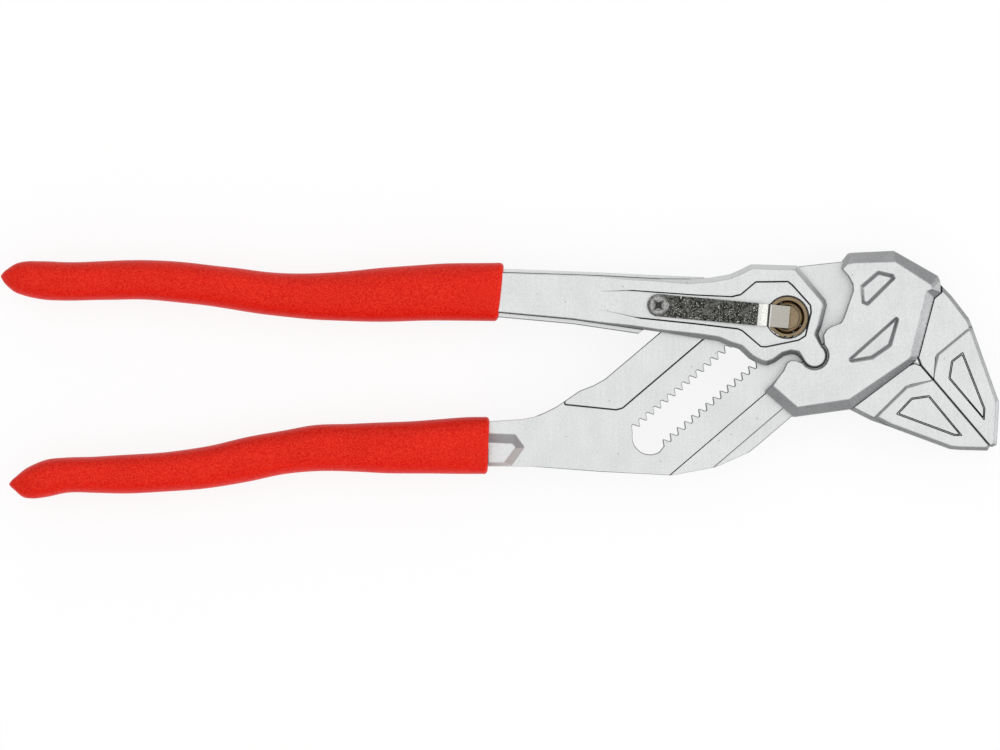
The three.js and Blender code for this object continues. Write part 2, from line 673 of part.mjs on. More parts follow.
function fixedJaw(edge, contact) {
  const plateRoom = prism(
    offset(plateOutline(plateEdgeShares), HEAD_GAP), INNER_FACE - RUNNING_GAP, PLATE_TOP + OVERRUN,
  );
  const jaw = jawPart(edge, contact, JAW_TOP, JAW_EDGE, -JAW_EDGE * 2);
  const panel = jawPart(
    [...scaled(fixedPanelShares, JAW_REACH, JAW_DEPTH), ...edge.slice(3)],
    [contact[0], [CONTACT_REACH, panelStartShare * JAW_DEPTH]],
    PANEL_TOP, JAW_PANEL_EDGE_DEPTH, -JAW_EDGE * 2,
  );
  return cut(
    joined(jaw, panel), withBothSides(engraving(fixedEngravingShares)), withBothSides(plateRoom),
  );
}

function notches() {
  const mouth = offset(scaled(notchShares, LOWER_SHANK_LENGTH, LOWER_SHANK_DROP), 0);
  const floor = offset(scaled(notchFloorShares, LOWER_SHANK_LENGTH, LOWER_SHANK_DROP), 0);
  const outlines = [floor, mouth, offset(mouth, NOTCH_DEPTH)];
  const heights = [CHANNEL_TOP - NOTCH_DEPTH, CHANNEL_TOP, CHANNEL_TOP + NOTCH_DEPTH];
  return withBothSides(layered(outlines, heights));
}

function lowerLever() {
  const edge = scaled(fixedJawEdgeShares, JAW_REACH, JAW_DEPTH);
  const [start, relief, root] = fixedReliefShares.map((share) => share * JAW_DEPTH);
  const contact = [
    [CONTACT_REACH, fixedTipShare * JAW_DEPTH],
    [CONTACT_REACH, start],
    [CONTACT_REACH + JAW_EDGE, relief],
    [CONTACT_REACH + JAW_EDGE, root],
  ];
  return joined(
    cut(slottedArm(leverOutline(edge, contact)), notches()),
    fixedJaw(edge, contact),
    tang(lowerGripShares, lowerMouth, LOWER_GRIP_LENGTH, GRIP_WALL),
  );
}

// The upper handle: a shank that forks into two cheeks, with the nose that drives the jaw
function handleOutline() {
  const slideDegrees = THREE.MathUtils.radToDeg(SLIDE_ANGLE);
  const nose = arc(noseCentre, NOSE_RADIUS, slideDegrees + 10, slideDegrees - 195, ARC_STEPS);
  return [
    ...scaled(shankFaceShares, UPPER_SHANK_LENGTH, HEAD_RADIUS),
    ...scaled(headTopShares, HEAD_RADIUS, HEAD_RADIUS),
    ...scaled(headFrontShares, HEAD_RADIUS, HEAD_RADIUS),
    ...nose,
    ...scaled(headBottomShares, HEAD_RADIUS, HEAD_RADIUS),
    ...scaled(shankBottomShares, UPPER_SHANK_LENGTH, HEAD_RADIUS),
  ];
}

// The sloped edge is wide round the head, and narrow at the nose and along the shank
function handleEdge({ x, y }) {
  const onNose = Math.hypot(x - noseCentre[0], y - noseCentre[1]) < NOSE_RADIUS + RUNNING_GAP;
  const onShank = x < headEdgeShare * UPPER_SHANK_LENGTH;
  return onNose || onShank ? NARROW_EDGE : HEAD_EDGE;
}

// Thins the shank down to the tang from the end of the pocket on
function shankTaper() {
  const shankTop = SHANK_THICKNESS / 2;
  const rim = taperRimShare * UPPER_SHANK_LENGTH;
  const start = taperStartShare * UPPER_SHANK_LENGTH;
  const end = taperEndShare * UPPER_SHANK_LENGTH;
  const side = new THREE.Shape([
    new THREE.Vector2(end, shankTop),
    new THREE.Vector2(start, POCKET_FLOOR),
    new THREE.Vector2(rim, CHEEK_TOP),
    new THREE.Vector2(rim, CHEEK_TOP + OVERRUN),
    new THREE.Vector2(end, CHEEK_TOP + OVERRUN),
  ]);
  const wedge = new THREE.ExtrudeGeometry(side, { depth: HEAD_RADIUS * 4, bevelEnabled: false });
  wedge.rotateX(Math.PI / 2);
  wedge.translate(0, HEAD_RADIUS * 2, 0);
  return withBothSides(solid(wedge));
}

// The shank's middle stands out past its two faces, above and below, as far as the fork
function shankWeb() {
  const lower = scaled(shankBottomShares.slice(1), UPPER_SHANK_LENGTH, HEAD_RADIUS);
  const upper = scaled(shankTopShares, UPPER_SHANK_LENGTH, HEAD_RADIUS);
  return prism([...lower.map(([x, y]) => [x, y - SHANK_WEB_DROP]), ...upper], -INNER_FACE, INNER_FACE);
}

function upperHandle() {
  const plate = edgedPlate(handleOutline(), CHEEK_TOP, HEAD_EDGE, handleEdge);
  const blank = joined(plate, shankWeb());
  const pocket = [
    ...scaled(pocketTailShares, UPPER_SHANK_LENGTH, HEAD_RADIUS),
    ...scaled(pocketHeadShares, HEAD_RADIUS, HEAD_RADIUS),
  ];
  const collarRadius = Math.hypot(BOLT_TEETH_REACH, BOLT_TEETH_TIP) + RUNNING_GAP * 2;
  const body = cut(
    blank,
    prism(slideStrip(-PAST_ALL, FORK_DEPTH), -INNER_FACE, INNER_FACE),
    prism(pocket, POCKET_FLOOR, CHEEK_TOP + OVERRUN),
    shankTaper(),
    disc([0, 0], BUSH_RADIUS + RUNNING_GAP, INNER_FACE - OVERRUN, CHEEK_TOP),
    disc([0, 0], collarRadius, 0, pressedTeethTop() + RUNNING_GAP),
    disc([0, 0], BUTTON_RADIUS + RUNNING_GAP, -CHEEK_TOP - OVERRUN, 0),
    disc(screwPlace(), SCREW_RADIUS + RUNNING_GAP, POCKET_FLOOR - SCREW_LENGTH, CHEEK_TOP),
  );
  return joined(body, tang(upperGripShares, upperMouth, UPPER_GRIP_LENGTH, GRIP_WALL));
}

// The lock: toothed bolt, push button and the bush that the bolt's cup end slides in
function pressedTeethTop() {
  return CHANNEL_TOP - RUNNING_GAP + BUTTON_TRAVEL;
}

function cupTop() {
  return POCKET_FLOOR + RUNNING_GAP;
}

function lockBolt() {
  const teethTop = CHANNEL_TOP - RUNNING_GAP;
  const cupLow = CHANNEL_TOP + RUNNING_GAP;
  const low = -CHEEK_TOP - RUNNING_GAP;
  const buttonLow = low - RUNNING_GAP;
  const socketTop = buttonLow + BUTTON_HEIGHT;
  const coreLow = socketTop - BUTTON_SOCKET_DEPTH + RUNNING_GAP;
  const teeth = prism(boltTeethOutline(), teethTop - BOLT_TOOTH_HEIGHT, teethTop);
  const core = disc([0, 0], BOLT_CORE_RADIUS, coreLow, teethTop);
  const cup = turned([
    [0, teethTop - BOLT_TOOTH_HEIGHT / 2],
    [BOLT_CORE_RADIUS, teethTop - BOLT_TOOTH_HEIGHT / 2],
    [BOLT_CORE_RADIUS, cupLow],
    [CUP_RADIUS, cupLow],
    [CUP_RADIUS, cupTop() - RUNNING_GAP],
    [CUP_RADIUS - RUNNING_GAP, cupTop()],
    [CUP_HOLLOW_RADIUS, cupTop()],
    [CUP_HOLLOW_RADIUS - RUNNING_GAP, cupTop() - CUP_HOLLOW_DEPTH],
    [0, cupTop() - CUP_HOLLOW_DEPTH],
  ]);
  return joined(core, teeth, cup);
}

function pushButton() {
  const low = -CHEEK_TOP - RUNNING_GAP * 2;
  const top = low + BUTTON_HEIGHT;
  const socketRadius = BOLT_CORE_RADIUS + RUNNING_GAP;
  return turned([
    [0, low],
    [BUTTON_RADIUS - BUTTON_EDGE, low],
    [BUTTON_RADIUS, low + BUTTON_EDGE],
    [BUTTON_RADIUS, top],
    [socketRadius, top],
    [socketRadius, top - BUTTON_SOCKET_DEPTH],
    [0, top - BUTTON_SOCKET_DEPTH],
  ]);
}

function pivotBush() {
  const inner = CUP_RADIUS + RUNNING_GAP;
  const edge = RUNNING_GAP / 2;
  const low = pressedTeethTop() + RUNNING_GAP * 2;
  const top = cupTop();
  return turned([
    [inner, low], [BUSH_RADIUS, low], [BUSH_RADIUS, top - edge], [BUSH_RADIUS - edge, top],
    [inner + edge, top], [inner, top - edge * 2], [inner, low],
  ]);
}

// The leaf spring and its screw, along the line from the screw to the pivot
function screwPlace() {
  return [-SPRING_LENGTH * Math.cos(SPRING_ANGLE), -SPRING_LENGTH * Math.sin(SPRING_ANGLE)];
}

function leafSpring() {
  const floor = POCKET_FLOOR + RUNNING_GAP;
  const tabFloor = cupTop() + RUNNING_GAP;
  const end = SPRING_LENGTH + SPRING_TAB_PAST_BOLT;
  const tabStart = end - SPRING_TAB_LENGTH;
  const rampStart = tabStart - SPRING_RAMP_LENGTH;
  const tail = -SPRING_WIDTH;
  const side = SPRING_WIDTH / 2;
  const plan = [...arc([0, 0], side, 90, 270, SLOT_END_STEPS), [end, -side], [end, side]];
  const line = [
    [tail, floor], [SPRING_FLAT_LENGTH, floor], [rampStart, tabFloor + SPRING_BOW],
    [tabStart, tabFloor], [end, tabFloor],
  ];
  const profile = [...line, ...line.slice().reverse().map(([s, z]) => [s, z + SPRING_THICKNESS])];
  const shape = new THREE.Shape(profile.map(([s, z]) => new THREE.Vector2(s, z)));
  const geometry = new THREE.ExtrudeGeometry(shape, { depth: SPRING_WIDTH, bevelEnabled: false });
  geometry.rotateX(Math.PI / 2);
  geometry.translate(0, side, 0);
  const blank = solid(geometry).intersect(prism(plan, floor - OVERRUN, PLATE_TOP + OVERRUN));
  const hole = disc([0, 0], SCREW_RADIUS + RUNNING_GAP, floor - OVERRUN, floor + OVERRUN);
  const strip = cut(blank, hole);
  const [x, y] = screwPlace();
  const degrees = THREE.MathUtils.radToDeg(SPRING_ANGLE);
  return strip.rotate([0, 0, degrees]).translate([x, y, 0]);
}

function springScrew() {
  const under = POCKET_FLOOR + SPRING_THICKNESS + RUNNING_GAP * 2;
  const top = under + SCREW_HEAD_HEIGHT;
  const low = POCKET_FLOOR - SCREW_LENGTH + RUNNING_GAP;
  const dome = scaled(screwHeadShares, SCREW_HEAD_RADIUS, SCREW_HEAD_HEIGHT);
  const blank = turned([
    [0, low], [SCREW_RADIUS, low], [SCREW_RADIUS, under], [SCREW_HEAD_RADIUS, under],
    ...dome.map(([r, z]) => [r, under + z]), [0, top],
  ]);
  const slots = [0, 90].map((turn) => {
    const box = new THREE.BoxGeometry(CROSS_LENGTH, CROSS_WIDTH, CROSS_DEPTH * 2);
    box.rotateZ(THREE.MathUtils.degToRad(turn + CROSS_TURN));
    box.translate(0, 0, top);
    return solid(box);
  });
  const [x, y] = screwPlace();
  return cut(blank, ...slots).translate([x, y, 0]);
}

// The whole tool
const pliers = new THREE.Group();
pliers.name = 'pipe_pliers';
pliers.add(
  mesh('lower_lever', lowerLever(), satinSteel),
  grip('lower_grip', lowerGripShares, lowerMouth, LOWER_GRIP_LENGTH),
  mesh('sliding_jaw', slidingJaw(), satinSteel),
  mesh('upper_handle', upperHandle(), satinSteel),
  grip('upper_grip', upperGripShares, upperMouth, UPPER_GRIP_LENGTH),
  mesh('pivot_bush', pivotBush(), bronze),
  mesh('lock_bolt', lockBolt(), bronze),
  mesh('push_button', pushButton(), blackenedSteel),
  mesh('leaf_spring', leafSpring(), zincSteel),
  mesh('spring_screw', springScrew(), zincSteel),
);

const reach = new THREE.Box3().setFromObject(pliers);
const middle = reach.getCenter(new THREE.Vector3());
pliers.position.set(-middle.x, -middle.y, -reach.min.z);
console.log('pivot at', pliers.position.toArray().map((v) => v.toFixed(4)).join(' '));
console.log('size', reach.getSize(new THREE.Vector3()).toArray().map((v) => v.toFixed(3)).join(' '));

export default pliers;
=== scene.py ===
# %% [markdown]
# # Adjustable pipe pliers
# This notebook dresses a pair of parallel-jaw pipe pliers, 300 mm long, that lie flat and
# are seen from straight above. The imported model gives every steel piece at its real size.
# What is left to do is what the eye reads as real: broken edges, soft round grips, a bent
# leaf spring, a pan-head screw and the finish of each metal.

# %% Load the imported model
import json
import math

import bmesh
import bpy
import numpy as np
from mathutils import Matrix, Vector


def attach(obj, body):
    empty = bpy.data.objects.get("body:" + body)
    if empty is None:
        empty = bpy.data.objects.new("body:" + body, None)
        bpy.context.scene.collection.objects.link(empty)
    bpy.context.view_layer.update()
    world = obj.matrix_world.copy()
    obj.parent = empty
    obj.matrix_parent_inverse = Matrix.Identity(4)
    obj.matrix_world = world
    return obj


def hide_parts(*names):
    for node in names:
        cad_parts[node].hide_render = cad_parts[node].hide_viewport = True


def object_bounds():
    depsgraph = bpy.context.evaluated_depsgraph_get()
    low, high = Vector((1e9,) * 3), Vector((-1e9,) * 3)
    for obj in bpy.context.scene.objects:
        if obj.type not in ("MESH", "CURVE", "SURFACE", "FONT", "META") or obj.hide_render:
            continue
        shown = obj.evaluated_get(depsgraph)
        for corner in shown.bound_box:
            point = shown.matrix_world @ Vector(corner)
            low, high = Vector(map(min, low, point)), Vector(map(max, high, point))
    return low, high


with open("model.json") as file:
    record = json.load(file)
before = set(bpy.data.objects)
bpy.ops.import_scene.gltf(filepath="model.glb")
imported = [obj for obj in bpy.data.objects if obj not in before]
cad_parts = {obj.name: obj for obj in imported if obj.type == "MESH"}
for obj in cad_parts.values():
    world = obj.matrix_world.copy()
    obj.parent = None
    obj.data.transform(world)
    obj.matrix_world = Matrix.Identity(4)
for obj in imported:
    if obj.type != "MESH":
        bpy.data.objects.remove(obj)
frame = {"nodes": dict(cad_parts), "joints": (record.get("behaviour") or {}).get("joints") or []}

MM = 0.001
cad_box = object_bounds()
joints = {joint["name"]: joint for joint in frame["joints"]}
pivot = np.array(joints["grip_hinge"]["pos_m"])
screw_point = np.array(joints["spring_flex"]["pos_m"])
print("pivot", pivot, "screw", screw_point)

# %% [markdown]
# ## The camera
# The photograph looks straight down and shows no side of the tool, so its lens is long.
# A camera 3 m up with a lens to match covers 300 mm, which is the tool's own length.
# The tool isn't quite in the middle of the picture, and the camera moves over by as much.
# The width is measured at the level of the upper flats, nine tenths of the way up.

# %% Camera
CAMERA_HEIGHT = 3.0
CLIP_END = 20.0
SENSOR_WIDTH = 36.0
PICTURE_WIDTH = 0.300
PICTURE_MIDDLE = (0.247 * MM, -0.112 * MM)
LEVEL_SHARE = 0.9
picture_level = cad_box[1].z * LEVEL_SHARE

camera_data = bpy.data.cameras.new("camera")
camera_data.sensor_width = SENSOR_WIDTH
camera_data.lens = SENSOR_WIDTH * (CAMERA_HEIGHT - picture_level) / PICTURE_WIDTH
camera_data.clip_end = CLIP_END
camera = bpy.data.objects.new("camera", camera_data)
camera.location = (*PICTURE_MIDDLE, CAMERA_HEIGHT)
bpy.context.scene.collection.objects.link(camera)
bpy.context.scene.camera = camera
print("camera at", tuple(camera.location), "lens", camera_data.lens)

# %% [markdown]
# ## Shader maths as plain expressions
# A finish is easier to read as `1 - grain * 0.2` than as a row of nodes. `Wire` wraps one
# output socket and turns each operator into a Math node, and `Finish` owns the material's
# tree and has the one method that adds any other node. Every pattern reads Object
# coordinates, in metres, so that a grain has the same real size on every piece.

# %% Shader helpers


class Wire:
    """One output of a node; + - * on it add Math nodes."""

    def __init__(self, finish, socket):
        self.finish = finish
        self.socket = socket

    def maths(self, operation, *values):
        node = self.finish.add("ShaderNodeMath", {"operation": operation}, enumerate(values))
        return Wire(self.finish, node.outputs[0])

    def __add__(self, other):
        return self.maths("ADD", self, other)

    def __radd__(self, other):
        return self.maths("ADD", other, self)

    def __sub__(self, other):
        return self.maths("SUBTRACT", self, other)

    def __rsub__(self, other):
        return self.maths("SUBTRACT", other, self)

    def __mul__(self, other):
        return self.maths("MULTIPLY", self, other)

    def __rmul__(self, other):
        return self.maths("MULTIPLY", other, self)

    def absolute(self):
        return self.maths("ABSOLUTE", self)

    def larger(self, other):
        return self.maths("MAXIMUM", self, other)

    def ramp(self, low, high):
        """0 below low and 1 above high, with a smooth turn between."""
        node = self.finish.add(
            "ShaderNodeMapRange",
            {"interpolation_type": "SMOOTHSTEP"},
            {"Value": self, "From Min": low, "From Max": high},
        )
        return Wire(self.finish, node.outputs["Result"])


class Finish:
    """A material with one Principled shader, built from wires."""

    def __init__(self, name, **shader):
        self.material = bpy.data.materials.new(name)
        self.material.use_nodes = True
        self.tree = self.material.node_tree
        self.shader = self.tree.nodes["Principled BSDF"]
        place = self.add("ShaderNodeTexCoord")
        self.place = Wire(self, place.outputs["Object"])
        self.facing = Wire(self, place.outputs["Normal"])
        self.finish(**shader)

    def set(self, node, sockets):
        """Links a wire to each named socket, or gives the socket its value."""
        for name, value in sockets:
            socket = node.inputs[name]
            if isinstance(value, Wire):
                self.tree.links.new(value.socket, socket)
            elif socket.type == "RGBA":
                socket.default_value = (*value, 1.0)
            else:
                socket.default_value = value

    def add(self, kind, settings=(), sockets=()):
        """Adds a node: first its settings, then the values or links of its sockets."""
        node = self.tree.nodes.new(kind)
        for name, value in dict(settings).items():
            setattr(node, name, value)
        self.set(node, dict(sockets).items())
        return node

    def vector(self, operation, *values, output="Vector"):
        node = self.add("ShaderNodeVectorMath", {"operation": operation}, enumerate(values))
        return Wire(self, node.outputs[output])

    def parts(self, vector):
        node = self.add("ShaderNodeSeparateXYZ", {}, {"Vector": vector})
        return [Wire(self, output) for output in node.outputs]

    def along(self, start, direction):
        """How far a point lies from start in a direction."""
        moved = self.vector("SUBTRACT", self.place, tuple(start))
        return self.vector("DOT_PRODUCT", moved, tuple(direction), output="Value")

    def radius(self, centre):
        """How far a point lies from an upright axis through centre."""
        moved = self.vector("SUBTRACT", self.place, tuple(centre))
        flat = self.vector("MULTIPLY", moved, (1.0, 1.0, 0.0))
        return self.vector("LENGTH", flat, output="Value")

    def scaled(self, x, y, z):
        """The place, stretched so that a pattern on it is drawn out along an axis."""
        return self.vector("MULTIPLY", self.place, (x, y, z))

    def noise(self, size, detail=2.0, vector=None, roughness=0.5):
        """Noise with spots of about this size in metres, from 0 to 1."""
        sockets = {"Scale": 1.0 / size, "Detail": detail, "Roughness": roughness}
        node = self.add("ShaderNodeTexNoise", {}, {"Vector": vector or self.place, **sockets})
        return Wire(self, node.outputs["Fac"])

    def cells(self, size):
        """Distance to the nearest of scattered points that lie about this far apart."""
        node = self.add("ShaderNodeTexVoronoi", {}, {"Vector": self.place, "Scale": 1.0 / size})
        return Wire(self, node.outputs["Distance"])

    def mixed(self, amount, first, second):
        """A colour between two colours."""
        node = self.add("ShaderNodeMix", {"data_type": "RGBA"}, {"Factor": amount})
        colours = [socket for socket in node.inputs if socket.type == "RGBA"]
        for socket, colour in zip(colours, (first, second)):
            if isinstance(colour, Wire):
                self.tree.links.new(colour.socket, socket)
            else:
                socket.default_value = (*colour, 1.0)
        output = next(socket for socket in node.outputs if socket.type == "RGBA")
        return Wire(self, output)

    def bump(self, height, distance, strength):
        """A Bump node for a height from 0 to 1 that stands for this many metres."""
        sockets = {"Height": height, "Distance": distance, "Strength": strength}
        return Wire(self, self.add("ShaderNodeBump", {}, sockets).outputs["Normal"])

    def finish(self, **sockets):
        """Sets the shader's sockets: base_color stands for Base Color, and so on."""
        words = {"ior": "IOR"}
        named = {words.get(k, k.replace("_", " ").title()): v for k, v in sockets.items()}
        self.set(self.shader, named.items())
        return self.material


# %% [markdown]
# ## Floor and light
# Polished steel shows what is round it more than its own colour. A broad panel overhead
# lights every flat face evenly, and a dimmer room makes each slope a shade darker, which
# is how the photograph separates the bevels from the flats. The photograph's ground is
# blown out to white, so the floor glows a little for what the camera and the metal see,
# and its own shading, which still holds the tool's shadow, is mixed in. Two small lamps
# at the side lift the slopes that face the upper side of the picture and the jaws' end.

# %% Floor, room and lamps
FLOOR_SIZE = 16.0
FLOOR_WHITE = (0.97, 0.97, 0.97)
FLOOR_GLOW = 0.85
ROOM_STRENGTH = 0.48
LAMP_TARGET = (0.0, 0.0, 0.0)
# Place, side and radiance of each lamp.
LAMPS = {
    "overhead_panel": ((0.0, 0.0, 1.6), 4.0, 0.68),
    "upper_side_lamp": ((-0.2, 1.5, 0.6), 1.0, 0.7),
    "jaw_side_lamp": ((1.5, -0.1, 0.5), 0.9, 2.6),
}


def white_floor():
    """Matt white mixed with a plain white glow for camera, glossy and transmitted rays."""
    floor = Finish("white_floor", base_color=FLOOR_WHITE, roughness=0.9)
    rays = floor.add("ShaderNodeLightPath")
    seen = Wire(floor, rays.outputs["Is Camera Ray"])
    for name in ("Is Glossy Ray", "Is Transmission Ray"):
        seen = seen.larger(Wire(floor, rays.outputs[name]))
    glow = floor.add("ShaderNodeEmission", {}, {"Color": (1.0, 1.0, 1.0), "Strength": 1.0})
    shaders = {
        0: seen * FLOOR_GLOW,
        1: Wire(floor, floor.shader.outputs[0]),
        2: Wire(floor, glow.outputs[0]),
    }
    mix = floor.add("ShaderNodeMixShader", {}, shaders)
    floor.set(floor.tree.nodes["Material Output"], [("Surface", Wire(floor, mix.outputs[0]))])
    return floor.material


def area_lamp(name, place, size, radiance):
    """A square lamp that points at the tool; its power is radiance times area times pi."""
    data = bpy.data.lights.new(name, "AREA")
    data.shape = "SQUARE"
    data.size = size
    data.energy = radiance * size * size * math.pi
    lamp = bpy.data.objects.new(name, data)
    lamp.location = place
    away = np.array(LAMP_TARGET) - np.array(place)
    lamp.rotation_mode = "QUATERNION"
    lamp.rotation_quaternion = Vector(away).to_track_quat("-Z", "Y")
    lamp.visible_camera = False
    bpy.context.scene.collection.objects.link(lamp)
    print(name, "power", data.energy)


half = FLOOR_SIZE / 2
floor_mesh = bpy.data.meshes.new("floor")
floor_mesh.from_pydata(
    [(-half, -half, 0), (half, -half, 0), (half, half, 0), (-half, half, 0)], [], [(0, 1, 2, 3)]
)
floor = bpy.data.objects.new("floor", floor_mesh)
floor.data.materials.append(white_floor())
bpy.context.scene.collection.objects.link(floor)

for lamp_name, (lamp_place, lamp_size, lamp_radiance) in LAMPS.items():
    area_lamp(lamp_name, lamp_place, lamp_size, lamp_radiance)

world = bpy.data.worlds.new("room")
world.use_nodes = True
background = world.node_tree.nodes["Background"]
background.inputs["Color"].default_value = (1.0, 1.0, 1.0, 1.0)
background.inputs["Strength"].default_value = ROOM_STRENGTH
bpy.context.scene.world = world
bpy.context.scene.view_settings.view_transform = "Standard"

# %% [markdown]
# ## Surfaces from arrays
# Each new piece is one or more grids of points. A grid comes from a formula on two
# parameters, worked out for all its points at once, and neighbouring points make quads.
# Where grids meet, or a row closes to a pole, points lie together and are merged.

# %% Grids to meshes
MERGE_DISTANCE = 0.002 * MM
CREASE_ANGLE = math.radians(24.0)


def grid_quads(rows, columns, around, first):
    """The corners of each cell of a grid whose points are numbered row by row."""
    number = first + np.arange(rows * columns).reshape(rows, columns)
    left = number if around else number[:, :-1]
    right = np.roll(number, -1, axis=1) if around else number[:, 1:]
    return np.stack([left[:-1], right[:-1], right[1:], left[1:]], axis=-1).reshape(-1, 4)


def surface_piece(name, *grids):
    """One piece from grids, each an array of points and whether its columns close round."""
    corners, quads, first = [], [], 0
    for points, around in grids:
        rows, columns = points.shape[:2]
        corners.append(points.reshape(-1, 3))
        quads.append(grid_quads(rows, columns, around, first))
        first += rows * columns
    mesh = bpy.data.meshes.new(name)
    mesh.from_pydata(np.concatenate(corners).tolist(), [], np.concatenate(quads).tolist())
    shape = bmesh.new()
    shape.from_mesh(mesh)
    bmesh.ops.remove_doubles(shape, verts=shape.verts, dist=MERGE_DISTANCE)
    bmesh.ops.recalc_face_normals(shape, faces=shape.faces)
    shape.to_mesh(mesh)
    shape.free()
    mesh.shade_smooth()
    mesh.set_sharp_from_angle(angle=CREASE_ANGLE)
    piece = bpy.data.objects.new(name, mesh)
    bpy.context.scene.collection.objects.link(piece)
    return piece


def turned_grid(profile, centre, columns=96):
    """A profile of (radius, height) points, turned once round an upright axis."""
    radius, height = np.array(profile).T
    angle = np.linspace(0.0, 2.0 * np.pi, columns, endpoint=False)
    x = centre[0] + radius[:, None] * np.cos(angle)
    y = centre[1] + radius[:, None] * np.sin(angle)
    z = np.broadcast_to(height[:, None], x.shape)
    return np.stack([x, y, z], axis=-1)


def rounded(profile, radius, steps=4):
    """The profile with each inner corner replaced by a curve of about this radius: points
    of a parabola that starts and ends that far from the corner, or at a third of a side."""
    points = np.array(profile, dtype=float)
    before, corner, after = points[:-2], points[1:-1], points[2:]
    back = np.linalg.norm(before - corner, axis=1, keepdims=True)
    ahead = np.linalg.norm(after - corner, axis=1, keepdims=True)
    start = corner + (before - corner) * np.minimum(radius / back, 1 / 3)
    end = corner + (after - corner) * np.minimum(radius / ahead, 1 / 3)
    start, corner, end = start[:, None], corner[:, None], end[:, None]
    t = np.linspace(0.0, 1.0, steps)[None, :, None]
    curve = (1 - t) ** 2 * start + 2 * t * (1 - t) * corner + t**2 * end
    return np.concatenate([points[:1], curve.reshape(-1, points.shape[1]), points[-1:]])


def dress(piece, body, slot, material, *nodes):
    """Gives a finished piece its material, sets it on its body and hides the imported nodes it
    stands for.
    """
    piece.data.materials.append(material)
    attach(piece, body)
    if nodes:
        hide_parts(*nodes)
    print(piece.name, "rides on", body)


# %% [markdown]
# ## Broken edges
# A forging has no knife edges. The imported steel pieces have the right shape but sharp
# corners, so each is copied, its loose triangles are joined into whole faces, and a Bevel
# modifier rounds its sharp edges. A face with hundreds of corners tears where its outline
# crosses itself, so the bevel gets a smaller weight where sharp edges are short or meet at
# a narrow angle, as at the teeth, and it narrows slowly along a line of edges. Normals
# weighted by area then keep the shading of the broad faces flat up to their rims. Copying
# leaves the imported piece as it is, and weights are surer than a limit on the angle alone,
# which would round the short edges of the teeth as widely as the long ones.

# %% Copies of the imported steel
DOUBLED = 1e-6
SLIVER = 0.05 * MM
JOIN_ANGLE = math.radians(0.3)
TANG_START = 88.30 * MM
TANG_SLACK = 0.05 * MM
TANG_HIDDEN = 89.95 * MM
TANG_BELOW = 22.0 * MM


def merged_copy(node, name, whole_faces=True):
    """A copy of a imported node: its doubled points are merged and its flat places joined
    into whole faces, or cut into triangles again where its outline is full of teeth."""
    mesh = frame["nodes"][node].data.copy()
    mesh.name = name
    shape = bmesh.new()
    shape.from_mesh(mesh)
    bmesh.ops.remove_doubles(shape, verts=shape.verts, dist=DOUBLED)
    bmesh.ops.dissolve_degenerate(shape, edges=shape.edges, dist=SLIVER)
    bmesh.ops.dissolve_limit(
        shape, angle_limit=JOIN_ANGLE, verts=shape.verts, edges=shape.edges
    )
    if not whole_faces:
        bmesh.ops.triangulate(shape, faces=shape.faces)
    shape.to_mesh(mesh)
    shape.free()
    mesh.materials.clear()
    piece = bpy.data.objects.new(name, mesh)
    bpy.context.scene.collection.objects.link(piece)
    return piece


def tuck_under_grip(piece):
    """Moves the front ring of the lower tang back until the grip's mouth hides it, which
    leaves the thumb notch's floor running in under the grip as on the real lever."""
    mesh = piece.data
    points = np.empty(len(mesh.vertices) * 3)
    mesh.vertices.foreach_get("co", points)
    points = points.reshape(-1, 3)
    ring = np.abs(points[:, 0] - (pivot[0] - TANG_START)) < TANG_SLACK
    ring &= points[:, 1] < pivot[1] - TANG_BELOW
    points[ring, 0] = pivot[0] - TANG_HIDDEN
    mesh.vertices.foreach_set("co", points.reshape(-1))
    print(piece.name, "points tucked under the grip:", int(ring.sum()))


# %% Steel pieces with broken edges
SHARP_ANGLE = math.radians(24.0)
STRAIGHT_ANGLE = math.radians(150.0)
FACET_ANGLE = math.radians(2.0)
EDGE_WIDTH = 0.25 * MM
EDGE_STEPS = 2
EVEN_ENOUGH = 1e-8
ROOM_SHARE = 0.40
FAR_MEETING = 1.8 * MM
BROAD_FACE = 2.2 * MM
STEEP_FACE = 0.35
FLAT_WEIGHT = 50


def is_sharp(edge):
    """True where two faces meet at more than the sharp angle."""
    return len(edge.link_faces) == 2 and edge.calc_face_angle(0.0) > SHARP_ANGLE


def corner_rule(corner, edge, other):
    """How two sharp edges limit each other at their corner: the widest rounding there is
    room for, and the most by which their widths may differ.

    Strips of width w along both edges meet at w / tan(half the angle between them) from
    the corner, which has to be near it and a share of the shorter edge. For two edges
    nearly in line it is the difference of the widths, over the sine of the turn, that
    moves the meeting point, and that is what has to stay short.
    """
    way = (edge.other_vert(corner).co - corner.co).normalized()
    other_way = (other.other_vert(corner).co - corner.co).normalized()
    angle = way.angle(other_way, math.pi)
    reach = min(ROOM_SHARE * min(edge.calc_length(), other.calc_length()), FAR_MEETING)
    if angle < STRAIGHT_ANGLE:
        return reach * math.tan(angle / 2), math.inf
    return math.inf, reach * math.sin(angle)


def strip_widths(sharp, width):
    """The rounding of each sharp edge: what its corners leave room for, then evened out
    along each line of edges until neighbours in line no longer differ by too much."""
    widths = {edge: width for edge in sharp}
    in_line = []
    for edge in sharp:
        for corner in edge.verts:
            for other in corner.link_edges:
                if other in widths and other is not edge:
                    room, step = corner_rule(corner, edge, other)
                    widths[edge] = min(widths[edge], room)
                    in_line += [(edge, other, step)] if step < math.inf else []
    changed = True
    while changed:
        changed = False
        for edge, other, step in in_line:
            if widths[edge] > widths[other] + step + EVEN_ENOUGH:
                widths[edge] = widths[other] + step
                changed = True
    return widths


